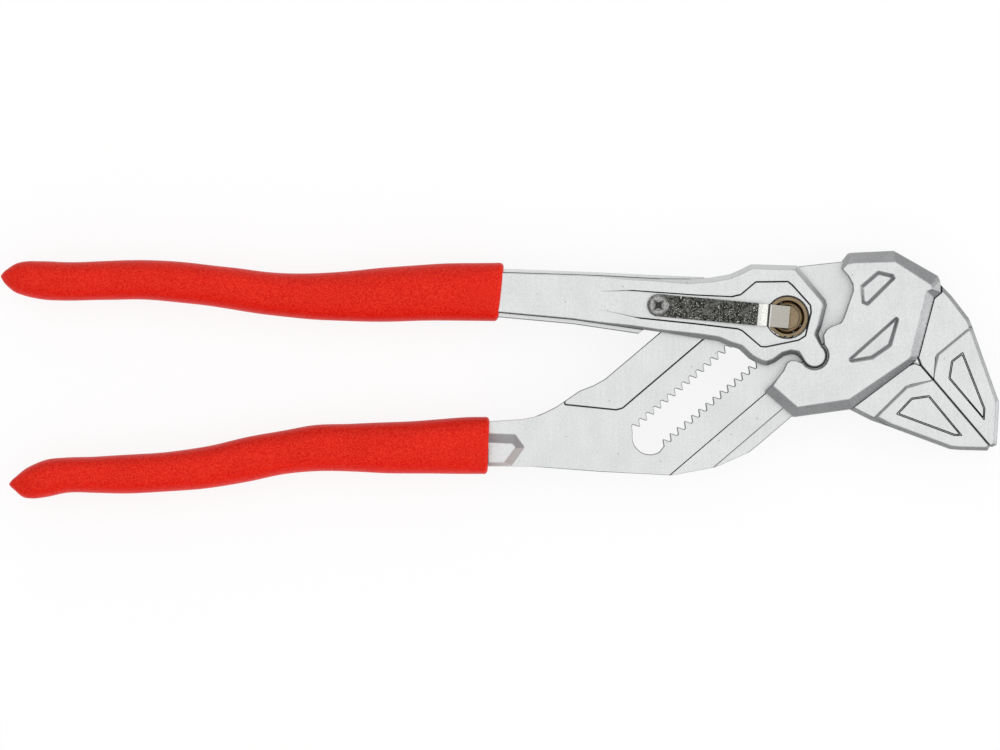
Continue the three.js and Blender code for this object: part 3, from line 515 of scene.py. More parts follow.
def is_crease(edge):
    """True where a face meets its neighbour at an angle that shows: a sharp edge, or a
    slight turn at a face that reaches far from the edge, which no rounded side does."""
    if len(edge.link_faces) != 2:
        return True
    areas = [face.calc_area() * (2 if len(face.verts) == 3 else 1) for face in edge.link_faces]
    reach = max(areas) / edge.calc_length()
    turn = edge.calc_face_angle(0.0)
    return turn > SHARP_ANGLE or (turn > FACET_ANGLE and reach > BROAD_FACE)


def break_edges(piece, width):
    """Rounds each sharp edge over this width, or over less where a sharp edge that turns
    off it is short. The bevel's own faces go into the second material slot. Gives back the
    ends of the sharp edges: the inner ones at the foot of a steep face, and all the outer
    ones."""
    shape = bmesh.new()
    shape.from_mesh(piece.data)
    weights = shape.edges.layers.float.new("bevel_weight_edge")
    sharp = {edge for edge in shape.edges if is_sharp(edge)}
    for edge, strip in strip_widths(sharp, width).items():
        edge[weights] = strip / width
    steep = {e for e in sharp if min(abs(f.normal.z) for f in e.link_faces) < STEEP_FACE}
    inner = [[list(v.co) for v in e.verts] for e in steep if not e.is_convex]
    outer = [[list(v.co) for v in e.verts] for e in sharp if e.is_convex]
    for face in shape.faces:
        face.smooth = True
    for edge in shape.edges:
        edge.smooth = not is_crease(edge)
    shape.to_mesh(piece.data)
    shape.free()
    bevel = piece.modifiers.new("broken_edges", "BEVEL")
    bevel.width = width
    bevel.segments = EDGE_STEPS
    bevel.limit_method = "WEIGHT"
    bevel.use_clamp_overlap = False
    bevel.loop_slide = False
    bevel.miter_outer = "MITER_ARC"
    bevel.material = 1
    flats = piece.modifiers.new("flat_faces_stay_flat", "WEIGHTED_NORMAL")
    flats.mode = "FACE_AREA"
    flats.weight = FLAT_WEIGHT
    flats.keep_sharp = True
    print(piece.name, "inner edges:", len(inner), "outer edges:", len(outer))
    return np.array(inner).reshape(-1, 2, 3), np.array(outer).reshape(-1, 2, 3)


# %% [markdown]
# ## Painted shade in corners
# Shade gathers at the foot of upright walls, and a low step reads as one dark line from
# its foot to its rim, so that shade is painted there. A texture can't know where the
# corners are, but the mesh does. The bevel is applied, and each of its own small faces that
# lies within its width of such a corner, or of the rim right above one, carries an
# attribute that the steel's material turns into painted shade.

# %% Painted shade beside the inner corners
LOW_STEP = 2.0 * MM
BESIDE = 0.06 * MM
PAINTED_SHADE_REACH = EDGE_WIDTH * 1.05
BLOCK_SIZE = 1000


def distance_to_edges(points, edges):
    """How far each point is from the nearest of the edges: to the nearest place on each
    edge, which is its start plus a share, kept within 0 and 1, of the way to its end."""
    way = edges[:, 1] - edges[:, 0]
    length_squared = np.maximum((way**2).sum(axis=1), 1e-18)
    nearest = []
    for block in np.array_split(points, 1 + len(points) // BLOCK_SIZE):
        from_start = block[:, None] - edges[:, 0]
        share = np.clip((from_start * way).sum(axis=-1) / length_squared, 0, 1)
        nearest.append(np.linalg.norm(from_start - share[..., None] * way, axis=-1).min(axis=1))
    return np.concatenate(nearest)


def rims_above(inner, outer):
    """The outer edges whose middle is straight above or below an inner edge, no further
    than a low step."""
    flat = np.array([1.0, 1.0, 0.0])
    middles = outer.mean(axis=1)
    beside = distance_to_edges(middles * flat, inner * flat) < BESIDE
    return outer[beside & (distance_to_edges(middles, inner) < LOW_STEP)]


def mark_painted_shade(piece, edges, reach):
    """Applies the bevel, whose own faces come out in the second material slot, then gives
    the attribute 1 to those of them that lie within reach of the edges."""
    bpy.context.view_layer.update()
    finished = piece.evaluated_get(bpy.context.evaluated_depsgraph_get())
    mesh = bpy.data.meshes.new_from_object(finished)
    piece.modifiers.clear()
    piece.data = mesh
    points = np.empty(len(mesh.vertices) * 3)
    mesh.vertices.foreach_get("co", points)
    near = distance_to_edges(points.reshape(-1, 3), edges) < reach
    corners = np.empty(len(mesh.loops), dtype=int)
    mesh.loops.foreach_get("vertex_index", corners)
    starts = np.empty(len(mesh.polygons), dtype=int)
    mesh.polygons.foreach_get("loop_start", starts)
    slots = np.empty(len(mesh.polygons), dtype=int)
    mesh.polygons.foreach_get("material_index", slots)
    # Bevel faces near these edges are the ones that take the painted shade.
    shaded_bevel_faces = np.minimum.reduceat(near[corners].astype(float), starts) * (slots == 1)
    mesh.polygons.foreach_set("material_index", np.zeros_like(slots))
    mesh.attributes.new("inner_corner", "FLOAT", "FACE").data.foreach_set("value", shaded_bevel_faces)
    print(piece.name, "faces:", len(starts), "with dirt:", int(shaded_bevel_faces.sum()))


# %% [markdown]
# ## Satin steel
# The forgings are blasted and satin chrome plated. Their flats are then ground, which
# leaves a pale face with fine lines across the tool and a speckle of fine pits. Slopes
# stay as they were blasted, so they are duller and grainier; their darker colour is partly
# that finish and partly painted shade for the dimmer room they reflect. The mask between
# the two is the direction in which the surface faces on the object itself. On the upper
# handle the slopes that face the upper side of the picture take a paler tone, a painted
# highlight. The thumb notch beside the lower grip is dull with handling: its slopes
# scatter the light, and the one that faces the upper side is painted the palest, a
# painted highlight.

# %% Steel
NOTCH_MIDDLE = pivot - np.array([83.5, 39.2, 0.0]) * MM
NOTCH_REACH = 12.0 * MM
UPPER_SIDE_HIGHLIGHT = 0.8


def satin_steel(name, upper_side_highlight=0.0):
    """Ground flats, blasted slopes darkened partly by painted shade, duller walls and notch,
    painted highlights on some slopes that face the upper side, painted shade in corners, a few
    pits.
    """
    steel = Finish(name, metallic=1.0)
    facing = steel.parts(steel.facing)
    facing_up = facing[2].absolute()
    ground = facing_up.ramp(0.93, 0.985)
    wall = 1 - facing_up.ramp(0.10, 0.55)
    marked = steel.add("ShaderNodeAttribute", {"attribute_name": "inner_corner"})
    dirt_and_painted_shade = Wire(steel, marked.outputs["Fac"])
    lines = steel.noise(0.35 * MM, 1.0, steel.scaled(1.0, 0.03, 1.0))
    speckle = steel.noise(0.45 * MM, 3.0, roughness=0.7)
    cloud = steel.noise(9 * MM, 3.0)
    pits = 1 - steel.cells(4.5 * MM).ramp(0.03, 0.07)
    tone = (speckle - 0.5) * 0.75 + (cloud - 0.5) * 0.25 + (lines - 0.5) * 0.20 + 0.5
    flat_colour = steel.mixed(tone.ramp(0.2, 0.8), (0.56, 0.57, 0.57), (0.74, 0.75, 0.75))
    grain = (speckle - 0.5) * 1.3 + (cloud - 0.5) * 0.5 + 0.5
    # Partly a blasted finish and partly painted shade: slopes and walls are darker than the
    # flats.
    slope_colour = steel.mixed(grain.ramp(0.2, 0.8), (0.32, 0.325, 0.33), (0.45, 0.455, 0.46))
    # Painted highlight: slopes that face the upper side of the picture take a paler tone.
    if upper_side_highlight:
        rim = facing[1].ramp(0.25, 0.6) * upper_side_highlight
        slope_colour = steel.mixed(rim, slope_colour, (0.74, 0.75, 0.75))
    walls = steel.mixed(wall, slope_colour, (0.34, 0.345, 0.35))
    slope = facing_up.ramp(0.15, 0.35) * (1 - ground)
    notch = slope * (1 - steel.radius(NOTCH_MIDDLE).ramp(NOTCH_REACH, NOTCH_REACH * 1.1))
    # Painted highlight: the notch's slopes that face the upper side are paler than its others.
    upward = facing[1].ramp(0.1, 0.5)
    notch_colour = steel.mixed(upward, (0.33, 0.335, 0.34), (0.62, 0.62, 0.61))
    sides = steel.mixed(notch, walls, notch_colour)
    clean = steel.mixed(ground, sides, flat_colour)
    # Painted shade: the marked bevel faces at inner corners and on the rims above them turn near
    # black.
    lined = steel.mixed(dirt_and_painted_shade * 0.95, clean, (0.035, 0.035, 0.037))
    pitted = steel.mixed(pits * 0.5, lined, (0.14, 0.14, 0.14))
    dull = (wall * (1 - dirt_and_painted_shade) * 0.45).larger(notch * 0.9)
    height = speckle * 0.8 + lines * 0.2 - pits * 0.8
    return steel.finish(
        base_color=pitted,
        metallic=1 - dull,
        roughness=0.48 - ground * 0.12 + (speckle - 0.5) * 0.16,
        normal=steel.bump(height, 0.03 * MM, 0.6),
    )


steel = satin_steel("satin_steel")
upper_highlight_steel = satin_steel("rubbed_satin_steel", UPPER_SIDE_HIGHLIGHT)
forging_finishes = {"lower_lever": steel, "sliding_jaw": steel, "upper_handle": upper_highlight_steel}
for node, finish in forging_finishes.items():
    forging = merged_copy(node, node + "_forging")
    if node == "lower_lever":
        tuck_under_grip(forging)
    # One slot for the forging's faces and one for the bevel's, until the painted shade is marked.
    for _ in range(2):
        forging.data.materials.append(finish)
    inner, outer = break_edges(forging, EDGE_WIDTH)
    mark_painted_shade(forging, np.concatenate([inner, rims_above(inner, outer)]), PAINTED_SHADE_REACH)
    forging.data.materials.clear()
    dress(forging, node, "satin_steel", finish, node)

# %% [markdown]
# ## The dipped grips
# Each tang is dipped in liquid vinyl and cured, so the grip is one soft skin: no seam, an
# oval section that fattens at the mouth, a rolled lip where the dip ended and a nub where
# the last drop hung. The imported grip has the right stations. Here a smooth curve runs
# through their tops, bottoms and thicknesses, and an oval ring is set at each step.

# %% Curves through the grip's stations
GRIP_WALL = 1.5 * MM
TANG_HALF = 4.1 * MM
TANG_END = 6.7 * MM
STATION_POINTS = 80
SLICE_HALF = 0.06 * MM


def grip_stations(node):
    """Place, middle height, half height and half thickness of each ring, tip first.

    Points are sorted into slices of 0.1 mm, and a slice with most of an oval in it is a
    station. The last two, at the mouth's own rounding, are left out.
    """
    mesh = frame["nodes"][node].data
    corners = np.empty(len(mesh.vertices) * 3)
    mesh.vertices.foreach_get("co", corners)
    corners = corners.reshape(-1, 3)
    slices, sizes = np.unique(np.round(corners[:, 0], 4), return_counts=True)
    places = slices[sizes > STATION_POINTS][:-2]
    rings = [corners[np.abs(corners[:, 0] - place) < SLICE_HALF] for place in places]
    low = np.array([ring.min(axis=0) for ring in rings])
    high = np.array([ring.max(axis=0) for ring in rings])
    return places, (low + high)[:, 1] / 2, (high - low)[:, 1] / 2, (high - low)[:, 2] / 2


def smooth_through(places, values, wanted):
    """A cubic on each stretch that keeps the mean slope of its neighbours at both ends."""
    slopes = np.gradient(values, places)
    k = np.clip(np.searchsorted(places, wanted) - 1, 0, len(places) - 2)
    width = places[k + 1] - places[k]
    t = (wanted - places[k]) / width
    low = (1 + 2 * t) * (1 - t) ** 2 * values[k] + t * (1 - t) ** 2 * width * slopes[k]
    high = t**2 * (3 - 2 * t) * values[k + 1] - t**2 * (1 - t) * width * slopes[k + 1]
    return low + high


def oval_rings(x, middle, half_height, half_thickness, roundness, columns=72):
    """Rings across X: a super-ellipse, round at roundness 1 and boxy near 0."""
    angle = np.linspace(0.0, 2.0 * np.pi, columns, endpoint=False)
    cosine = np.sign(np.cos(angle)) * np.abs(np.cos(angle)) ** np.reshape(roundness, (-1, 1))
    sine = np.sign(np.sin(angle)) * np.abs(np.sin(angle)) ** np.reshape(roundness, (-1, 1))
    y = np.reshape(middle, (-1, 1)) + np.reshape(half_height, (-1, 1)) * cosine
    z = pivot[2] + np.reshape(half_thickness, (-1, 1)) * sine
    return np.stack(np.broadcast_arrays(np.reshape(x, (-1, 1)), y, z), axis=-1)


# %% [markdown]
# ## From rings to a skin
# One grid runs from the nub over the skin, round the lip and back through the bore, so
# the grip is a single closed surface. Small sines and a bell curve on the radius make it
# a dipped piece: no two places are quite alike, and the last drop swells behind the nub.

# %% Grip surfaces
LIP_RADIUS = 1.3 * MM
LIP_STEPS = 9
NUB_LENGTH = 1.2 * MM
LEAN_REACH = 14 * MM
SKIN_STEPS = 170
BORE_STEPS = 80
SKIN_WAVE = 0.04 * MM
WAVE_RATES = (310.0, 173.0)
SKIN_ROUNDNESS = 0.80
MOUTH_BOXINESS = 0.28
HOLE_ROUNDNESS = 0.30
BORE_ROUNDNESS = 0.60
DROP_SHARE = 0.09
DROP_PLACE = 4.0 * MM
DROP_REACH = 2.2 * MM


def grip_piece(node, name, mouth, lean, opening, trim=0.0):
    """The outer skin from the nub to the lip, then the lip, then the bore for the tang.

    The lip is a quarter circle. Near the mouth each point moves along X by lean times its
    height in the section, which slants the mouth. The nub ends in half an ellipsoid, and
    slow sine waves keep the skin from being machine-smooth. A bell curve fills out the
    drop behind the nub, and trim shortens the tip.
    """
    places, *curves = grip_stations(node)
    tip, last_station = places[0] + trim, places[-1]
    places = np.append(places, mouth)
    curves = [np.append(values, values[-1]) for values in curves]
    lip_start = mouth - LIP_RADIUS
    nub = tip + NUB_LENGTH * (1 - np.cos(np.linspace(0.0, np.pi / 2, 8)))
    skin = np.concatenate([nub, np.linspace(tip + NUB_LENGTH, lip_start, SKIN_STEPS)[1:]])
    middle, height, thickness = (smooth_through(places, values, skin) for values in curves)
    dome = np.sqrt(1 - np.clip((tip + NUB_LENGTH - skin) / NUB_LENGTH, 0, 1) ** 2)
    fast, slow = WAVE_RATES
    wave = SKIN_WAVE * (np.sin(skin * fast) + np.sin(skin * slow + 1.0)) - SKIN_WAVE
    drop = np.exp(-(((skin - tip - DROP_PLACE) / DROP_REACH) ** 2))
    height = height * (1 + DROP_SHARE * drop)
    near_mouth = np.clip((skin - mouth + LEAN_REACH) / LEAN_REACH, 0, 1)
    round_share = SKIN_ROUNDNESS - MOUTH_BOXINESS * near_mouth**2
    height_here, thickness_here = (height + wave) * dome, (thickness + wave) * dome
    outer = oval_rings(skin, middle, height_here, thickness_here, round_share)

    turn = np.linspace(0.0, np.pi / 2, LIP_STEPS)[1:]
    inset = LIP_RADIUS * (1 - np.cos(turn))
    lip_x = lip_start + LIP_RADIUS * np.sin(turn)
    lip_height, lip_thickness = height[-1] - inset, thickness[-1] - inset
    lip = oval_rings(lip_x, middle[-1], lip_height, lip_thickness, round_share[-1])

    hole_middle, hole_height, hole_thickness, hole_end = opening
    hole_x = np.array([mouth, hole_end])
    hole = oval_rings(hole_x, hole_middle, hole_height, hole_thickness, HOLE_ROUNDNESS)
    bore = np.linspace(hole_end, tip + TANG_END, BORE_STEPS)
    bore_middle, bore_height, bore_thickness = (smooth_through(places, v, bore) for v in curves)
    half = np.minimum(bore_thickness - GRIP_WALL, TANG_HALF)
    inner = oval_rings(bore, bore_middle, bore_height - GRIP_WALL, half, BORE_ROUNDNESS)
    end = np.repeat(inner[-1:].mean(axis=1, keepdims=True), inner.shape[1], axis=1)
    points = np.concatenate([outer, lip, hole, inner, end])

    fade = np.clip((points[..., 0] - mouth + LEAN_REACH) / LEAN_REACH, 0, 1) ** 2
    points[..., 0] += lean * fade * (points[..., 1] - middle[-1]) / height[-1]
    print(name, "from", tip, "to", mouth, "through", len(places) - 1, "stations to", last_station)
    return surface_piece(name, (points, True))


# %% [markdown]
# ## Red vinyl
# Cured vinyl is a deep red, soft to the light and slightly pebbled. Its gloss is low, and
# the pebbles break it into grains of a quarter to half a millimetre. Their tops are
# painted paler, a painted highlight for the glints of that gloss, and the hollows between
# them darker, a painted shade. The side of a grip that faces the upper side of the picture
# is painted a darker red, a painted shade, and the side below a brighter, purer red, a
# painted light.

# %% Vinyl


def red_vinyl():
    """Deep red with a pebbled grain: painted highlights on its tops and painted shade in its
    hollows, painted shade on the upper side and painted light on the side below.
    """
    vinyl = Finish("red_vinyl", ior=1.19)
    pebbles = vinyl.noise(0.46 * MM, 2.0, roughness=0.6)
    grain = vinyl.noise(0.26 * MM, 1.0)
    patches = vinyl.noise(11 * MM, 2.0)
    side = vinyl.parts(vinyl.facing)[1]
    skin = vinyl.mixed(patches.ramp(0.3, 0.7), (0.68, 0.008, 0.003), (0.74, 0.011, 0.005))
    # Painted light and shade: the side below is a brighter red, the side above a darker one.
    below = vinyl.mixed((1 - side.ramp(-0.95, -0.05)) * 0.9, skin, (0.82, 0.003, 0.001))
    above = vinyl.mixed(side.ramp(0.10, 0.95) * 0.7, below, (0.50, 0.006, 0.003))
    relief = pebbles * 0.65 + grain * 0.35
    # Painted highlight on the pebbles' tops, then painted shade in the hollows between them.
    pale = vinyl.mixed(relief.ramp(0.44, 0.62) * 0.6, above, (0.88, 0.055, 0.022))
    colour = vinyl.mixed((1 - relief.ramp(0.36, 0.48)) * 0.4, pale, (0.42, 0.002, 0.001))
    return vinyl.finish(
        base_color=colour,
        roughness=0.42 + (grain - 0.5) * 0.2,
        normal=vinyl.bump(pebbles * 0.6 + grain * 0.4, 0.14 * MM, 0.8),
    )


vinyl = red_vinyl()
# A hole is its middle, its half height, its half thickness and where it ends.
upper_hole = (pivot[1] + 7.40 * MM, 7.62 * MM, 6.52 * MM, pivot[0] - 87.3 * MM)
upper_grip = grip_piece(
    "upper_grip", "upper_dipped_grip", pivot[0] - 85.95 * MM, 0.95 * MM, upper_hole
)
dress(upper_grip, "upper_handle", "red_vinyl", vinyl, "upper_grip")
lower_hole = (pivot[1] - 38.05 * MM, 7.05 * MM, 4.32 * MM, pivot[0] - 90.3 * MM)
lower_grip = grip_piece(
    "lower_grip", "lower_dipped_grip", pivot[0] - 89.70 * MM, 0.30 * MM, lower_hole, 0.55 * MM
)
dress(lower_grip, "lower_lever", "red_vinyl", vinyl, "lower_grip")

# %% [markdown]
# ## The leaf spring
# A strip of spring steel is held by a screw at its round tail, rises a little, folds down
# and ends in a square tab that rests on the bolt. It is one thin sheet: a grid of points
# in plan, lifted by the strip's height at each place along it. Round the screw's hole the
# grid is polar and its outer edge grows from a circle into a square, so that it meets the
# straight strip point for point. Solidify then gives the sheet its thickness.

# %% Strip
STRIP_SIDE = 3.35 * MM
STRIP_HOLE = 1.7 * MM
STRIP_THICKNESS = 0.6 * MM
STRIP_FLAT = 4.8 * MM
RAMP_START = 30.3 * MM
TAB_START = 33.2 * MM
STRIP_END = 39.4 * MM
TAB_LIFT = 0.3 * MM
STRIP_BOW = 1.2 * MM
BEND_REACH = 0.45 * MM
RIM_WIDTH = 0.08 * MM
RIM_STEPS = 2
RIM_ANGLE = math.radians(50.0)
BEND_SAMPLES = 15
FAN_STEP = 3.75
TAIL_RINGS = 9
STRIP_ROWS = 110
flex_axis = np.array(joints["spring_flex"]["axis"])
strip_direction = np.array([-flex_axis[1], flex_axis[0], 0.0])


def strip_height(along):
    """Straight stretches between the bends, averaged over a short reach to round them."""
    knots = [-STRIP_SIDE, STRIP_FLAT, RAMP_START, TAB_START, STRIP_END]
    lifts = [0.0, 0.0, TAB_LIFT + STRIP_BOW, TAB_LIFT, TAB_LIFT]
    near = along[..., None] + np.linspace(-1.0, 1.0, BEND_SAMPLES) * BEND_REACH
    return np.interp(near, knots, lifts).mean(axis=-1)


def strip_points(along, across):
    """From the strip's own plan to the object: turned about the screw, then lifted."""
    side = np.array([-strip_direction[1], strip_direction[0], 0.0])
    points = screw_point + along[..., None] * strip_direction + across[..., None] * side
    points[..., 2] += strip_height(along)
    return points


def leaf_spring():
    """A ring of points that grows from the hole's circle to the tail's half circle and
    half square, then a straight grid whose columns start where the square's rays end."""
    angle = np.radians(np.arange(-180.0, 180.0, FAN_STEP))
    square = STRIP_SIDE / np.maximum(np.abs(np.cos(angle)), np.abs(np.sin(angle)))
    rim = np.where(np.cos(angle) > 1e-9, square, STRIP_SIDE)
    step = np.linspace(0.0, 1.0, TAIL_RINGS)[:, None]
    reach = STRIP_HOLE + (rim - STRIP_HOLE) * step
    tail = strip_points(reach * np.cos(angle), reach * np.sin(angle))
    fan = np.radians(np.arange(-45.0, 45.1, FAN_STEP))
    rows = np.linspace(STRIP_SIDE, STRIP_END, STRIP_ROWS)
    along, across = np.meshgrid(rows, STRIP_SIDE * np.tan(fan), indexing="ij")
    strip = strip_points(along, across)
    return surface_piece("leaf_spring_strip", (tail, True), (strip, False))


spring = leaf_spring()
wall = spring.modifiers.new("thickness", "SOLIDIFY")
wall.thickness = STRIP_THICKNESS
wall.offset = 1.0 if spring.data.polygons[0].normal.z > 0 else -1.0
rim = spring.modifiers.new("rolled_rim", "BEVEL")
rim.width = RIM_WIDTH
rim.segments = RIM_STEPS
rim.limit_method = "ANGLE"
rim.angle_limit = RIM_ANGLE

# %% [markdown]
# ## Mottled zinc
# The strip's zinc is crystalline: grains that mirror the light lie beside grains that
# don't, which the photograph shows as a dark, speckled face. The fold is painted bright, a
# painted highlight for its slope, and the tab is rubbed paler by the bolt. The dark line
# along the crease between them is painted shade. How far a point lies along the strip
# decides between them.

# %% Zinc


def mottled_zinc():
    """Dark crystalline zinc, a painted highlight on the fold, painted shade along the crease and
    a pale tab along the strip.
    """
    zinc = Finish("mottled_zinc", metallic=1.0)
    along = zinc.along(screw_point, strip_direction)
    crystals = zinc.noise(0.50 * MM, 3.0, roughness=0.8)
    clouds = zinc.noise(2.6 * MM, 3.0, roughness=0.6)
    flecks = zinc.noise(0.34 * MM, 1.0).ramp(0.64, 0.71)
    mottle = (crystals * 0.75 + clouds * 0.25).ramp(0.42, 0.60)
    dull = zinc.mixed(mottle, (0.004, 0.005, 0.003), (0.135, 0.138, 0.127))
    dark = zinc.mixed(flecks * 0.9, dull, (0.70, 0.70, 0.66))
    # Painted highlight: the fold's slope is bright.
    fold = zinc.mixed(crystals.ramp(0.3, 0.7), (0.55, 0.55, 0.52), (0.80, 0.80, 0.77))
    tab = zinc.mixed(crystals.ramp(0.3, 0.7), (0.37, 0.355, 0.32), (0.45, 0.43, 0.39))
    on_fold = along.ramp(RAMP_START - 0.5 * MM, RAMP_START - 0.1 * MM)
    on_tab = along.ramp(TAB_START + 0.55 * MM, TAB_START + 0.80 * MM)
    # Painted shade: a dark line along the crease between fold and tab.
    crease = 1 - (along - TAB_START).absolute().ramp(0.24 * MM, 0.44 * MM)
    whole = zinc.mixed(on_tab, zinc.mixed(on_fold, dark, fold), tab)
    return zinc.finish(
        base_color=zinc.mixed(crease * 0.95, whole, (0.02, 0.019, 0.017)),
        roughness=0.38 - on_fold * 0.10 + (crystals - 0.5) * 0.3,
        normal=zinc.bump(crystals, 0.06 * MM, 0.7),
    )


dress(spring, "leaf_spring", "zinc_steel", mottled_zinc(), "leaf_spring")

# %% [markdown]
# ## The pan-head screw
# The head is turned, so its shape is a profile carried round an axis, with rings close
# enough together to take the cross. The cross is a depth that depends on the place in
# plan: four wings that widen into the middle, deepest at the centre.

# %% Screw
HEAD_RADIUS = 3.3 * MM
HEAD_HEIGHT = 1.7 * MM
HEAD_UNDER = 0.9 * MM
THREAD_RADIUS = 1.4 * MM
THREAD_LENGTH = 5.5 * MM
WING_REACH = 2.05 * MM
WING_DEPTH = 1.0 * MM
WING_TURN = math.radians(44.0)
WING_EDGE = 0.10 * MM
WING_HALF = 0.26 * MM
WING_FLARE = 0.50 * MM
FLARE_REACH = 0.75 * MM
WING_SLOPE = 0.30
RIM_SHARE = 0.35
TOP_SHARE = 0.34
DOME_RINGS = 90
HEAD_COLUMNS = 160
HEAD_ROUNDING = 0.1 * MM


def cross_depth(x, y):
    """How deep the cross is: each wing's width is a constant and a bell curve about the
    middle, its floor rises outwards, and it is cut off at its reach."""
    depth = np.zeros_like(x)
    for turn in WING_TURN + np.arange(4) * np.pi / 2:
        out = x * np.cos(turn) + y * np.sin(turn)
        side = np.abs(y * np.cos(turn) - x * np.sin(turn))
        width = WING_HALF + WING_FLARE * np.exp(-((out / FLARE_REACH) ** 2))
        beside = np.clip((width - side) / WING_EDGE + 0.5, 0, 1)
        short = np.clip((WING_REACH - out) / WING_EDGE + 0.5, 0, 1)
        inside = beside * short * (out > -0.3 * MM)
        depth = np.maximum(depth, inside * (WING_DEPTH - WING_SLOPE * np.clip(out, 0, None)))
    return depth


def screw_head_height(radius):
    """A low dome over a short straight rim: the fourth root of a flattened circle."""
    share = np.clip(radius / HEAD_RADIUS, 0, 1)
    return HEAD_HEIGHT * (RIM_SHARE + (1 - RIM_SHARE) * np.sqrt(np.clip(1 - share**4, 0, 1)))


under = screw_point[2] + HEAD_UNDER
dome_radius = HEAD_RADIUS * np.sin(np.linspace(np.pi / 2, 0, DOME_RINGS))
dome = np.stack([dome_radius, under + screw_head_height(dome_radius)], axis=1)
low = screw_point[2] - THREAD_LENGTH
shank_corners = [
    (0, low), (THREAD_RADIUS, low), (THREAD_RADIUS, under), (HEAD_RADIUS, under), tuple(dome[0]),
]
shank = rounded(shank_corners, HEAD_ROUNDING)
head = turned_grid(np.concatenate([shank[:-1], dome]), screw_point, HEAD_COLUMNS)
on_top = head[..., 2] > under + TOP_SHARE * HEAD_HEIGHT
plan_x = head[..., 0] - screw_point[0]
plan_y = head[..., 1] - screw_point[1]
head[..., 2] -= np.where(on_top, cross_depth(plan_x, plan_y), 0.0)
screw = surface_piece("pan_head_screw", (head, True))


def bright_zinc():
    """Polished zinc with random dirt, a painted highlight in a ring round the ends of the cross
    and painted shade deep in the cross.
    """
    zinc = Finish("bright_zinc", metallic=1.0)
    radius = zinc.radius(screw_point)
    height = zinc.parts(zinc.place)[2]
    dirt_and_painted_shade = zinc.noise(0.5 * MM, 3.0, roughness=0.7)
    deep = 1 - height.ramp(under + 0.55 * HEAD_HEIGHT, under + 0.80 * HEAD_HEIGHT)
    inside = 1 - radius.ramp(WING_REACH * 0.95, WING_REACH * 1.1)
    # Painted highlight: a paler ring round the ends of the cross.
    cross_rim_highlight = 1 - (radius - WING_REACH).absolute().ramp(0.10 * MM, 0.55 * MM)
    shade = zinc.mixed(dirt_and_painted_shade.ramp(0.35, 0.65), (0.13, 0.13, 0.125), (0.34, 0.34, 0.335))
    bright = zinc.mixed(cross_rim_highlight * 0.3, shade, (0.62, 0.62, 0.60))
    # Painted shade: the deep part of the cross turns near black.
    colour = zinc.mixed(deep * inside * 0.9, bright, (0.03, 0.03, 0.028))
    return zinc.finish(
        base_color=colour,
        roughness=0.30 + (dirt_and_painted_shade - 0.5) * 0.2,
        normal=zinc.bump(dirt_and_painted_shade, 0.02 * MM, 0.5),
    )


dress(screw, "upper_handle", "zinc_steel", bright_zinc(), "spring_screw")

# %% [markdown]
# ## Bush, bolt and button
# The lock bolt's end shows through the handle as a dull bronze boss inside a bush of the
# same metal. Both are turned pieces, so their finish has fine rings about the pivot, and
# a band of painted shade darkens both sides of the gap between them. The bush's lower rim
# has a few nicks. On the other side a blackened button presses the bolt.

# %% Bronze and black steel
BUSH_INNER = 4.9 * MM
BUSH_OUTER = 6.1 * MM
BUSH_TOP = pivot[2] + 8.5 * MM
BUSH_LOW = pivot[2] + 7.1 * MM
GAP_SHADE_RADIUS = 4.60 * MM
GAP_SHADE_HALF = 0.54 * MM
NICK_DEPTH = 0.45 * MM
NICK_ANGLES = (227.0, 241.0, 264.0, 286.0)
NICK_HALF = 4.5
NICK_FADE = 1.5
BUSH_ROUNDING = 0.15 * MM
BUSH_COLUMNS = 360
BOLT_EDGE = 0.20 * MM


def turned_metal(name, dark, pale, roughness, gap_shade=0.0):
    """A turned metal: its tone follows fine rings about the pivot and soft stains, and the
    last argument is how strongly a band of painted shade darkens both sides of the gap."""
    metal = Finish(name, metallic=1.0)
    radius = metal.radius(pivot)
    line = metal.add("ShaderNodeCombineXYZ", {}, {"X": radius})
    rings = metal.noise(0.12 * MM, 1.0, Wire(metal, line.outputs[0]))
    stains = metal.noise(1.6 * MM, 3.0)
    grains = metal.noise(0.3 * MM, 2.0)
    tone = rings * 0.35 + stains * 0.35 + grains * 0.30
    colour = metal.mixed(tone.ramp(0.35, 0.65), dark, pale)
    if gap_shade:
        # Painted shade: a dark band on both sides of the gap between bush and bolt.
        gap_shade_band = 1 - (radius - GAP_SHADE_RADIUS).absolute().ramp(GAP_SHADE_HALF * 0.8, GAP_SHADE_HALF * 1.2)
        colour = metal.mixed(gap_shade_band * gap_shade, colour, (0.085, 0.048, 0.019))
    return metal.finish(
        base_color=colour,
        roughness=roughness + (stains - 0.5) * 0.2,
        normal=metal.bump(rings * 0.6 + grains * 0.4, 0.02 * MM, 0.5),
    )


bronze = turned_metal("dull_bronze", (0.205, 0.155, 0.093), (0.31, 0.24, 0.153), 0.42, 0.92)
black_steel = turned_metal("blackened_steel", (0.045, 0.045, 0.048), (0.10, 0.10, 0.105), 0.45)

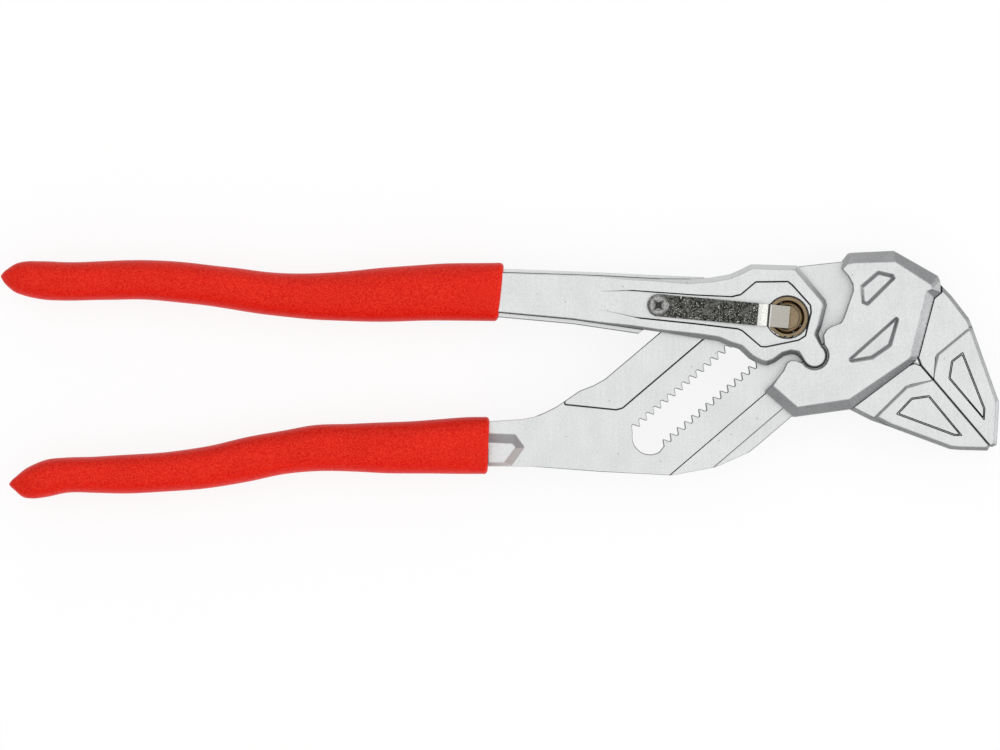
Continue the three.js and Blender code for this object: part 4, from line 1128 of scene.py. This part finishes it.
ring = rounded(
    [
        (BUSH_INNER, BUSH_LOW), (BUSH_OUTER, BUSH_LOW), (BUSH_OUTER, BUSH_TOP),
        (BUSH_INNER + 0.1 * MM, BUSH_TOP), (BUSH_INNER, BUSH_TOP - 0.3 * MM),
        (BUSH_INNER, BUSH_LOW),
    ],
    BUSH_ROUNDING,
)
bush_points = turned_grid(ring, pivot, BUSH_COLUMNS)
spoke = bush_points[..., :2] - pivot[:2]
spoke_radius = np.linalg.norm(spoke, axis=-1)
spoke_angle = np.degrees(np.arctan2(spoke[..., 1], spoke[..., 0])) % 360
for nick in NICK_ANGLES:
    near = np.clip((NICK_HALF - np.abs(spoke_angle - nick)) / NICK_FADE, 0, 1)
    cut_to = np.minimum(spoke_radius, BUSH_OUTER - NICK_DEPTH * near)
    bush_points[..., :2] = pivot[:2] + spoke / spoke_radius[..., None] * cut_to[..., None]
    spoke_radius = cut_to
    spoke = bush_points[..., :2] - pivot[:2]
bush = surface_piece("bronze_bush", (bush_points, True))
dress(bush, "pivot", "bronze", bronze, "pivot_bush")

bolt = merged_copy("lock_bolt", "toothed_bolt", whole_faces=False)
break_edges(bolt, BOLT_EDGE)
dress(bolt, "lock_bolt", "bronze", bronze, "lock_bolt")

BUTTON_LOW = pivot[2] - 9.8 * MM
BUTTON_TOP = BUTTON_LOW + 2.5 * MM
SOCKET_RADIUS = 3.6 * MM
SOCKET_FLOOR = BUTTON_TOP - 1.5 * MM
BUTTON_ROUNDING = 0.25 * MM
button_profile = [
    (0, BUTTON_LOW + 0.45 * MM), (3.6 * MM, BUTTON_LOW + 0.30 * MM), (4.6 * MM, BUTTON_LOW),
    (5.0 * MM, BUTTON_LOW), (5.6 * MM, BUTTON_LOW + 0.6 * MM), (5.6 * MM, BUTTON_TOP),
    (SOCKET_RADIUS, BUTTON_TOP), (SOCKET_RADIUS, SOCKET_FLOOR), (0, SOCKET_FLOOR),
]
button_points = turned_grid(rounded(button_profile, BUTTON_ROUNDING), pivot)
button = surface_piece("pressed_button", (button_points, True))
dress(button, "lock_bolt", "blackened_steel", black_steel, "push_button")
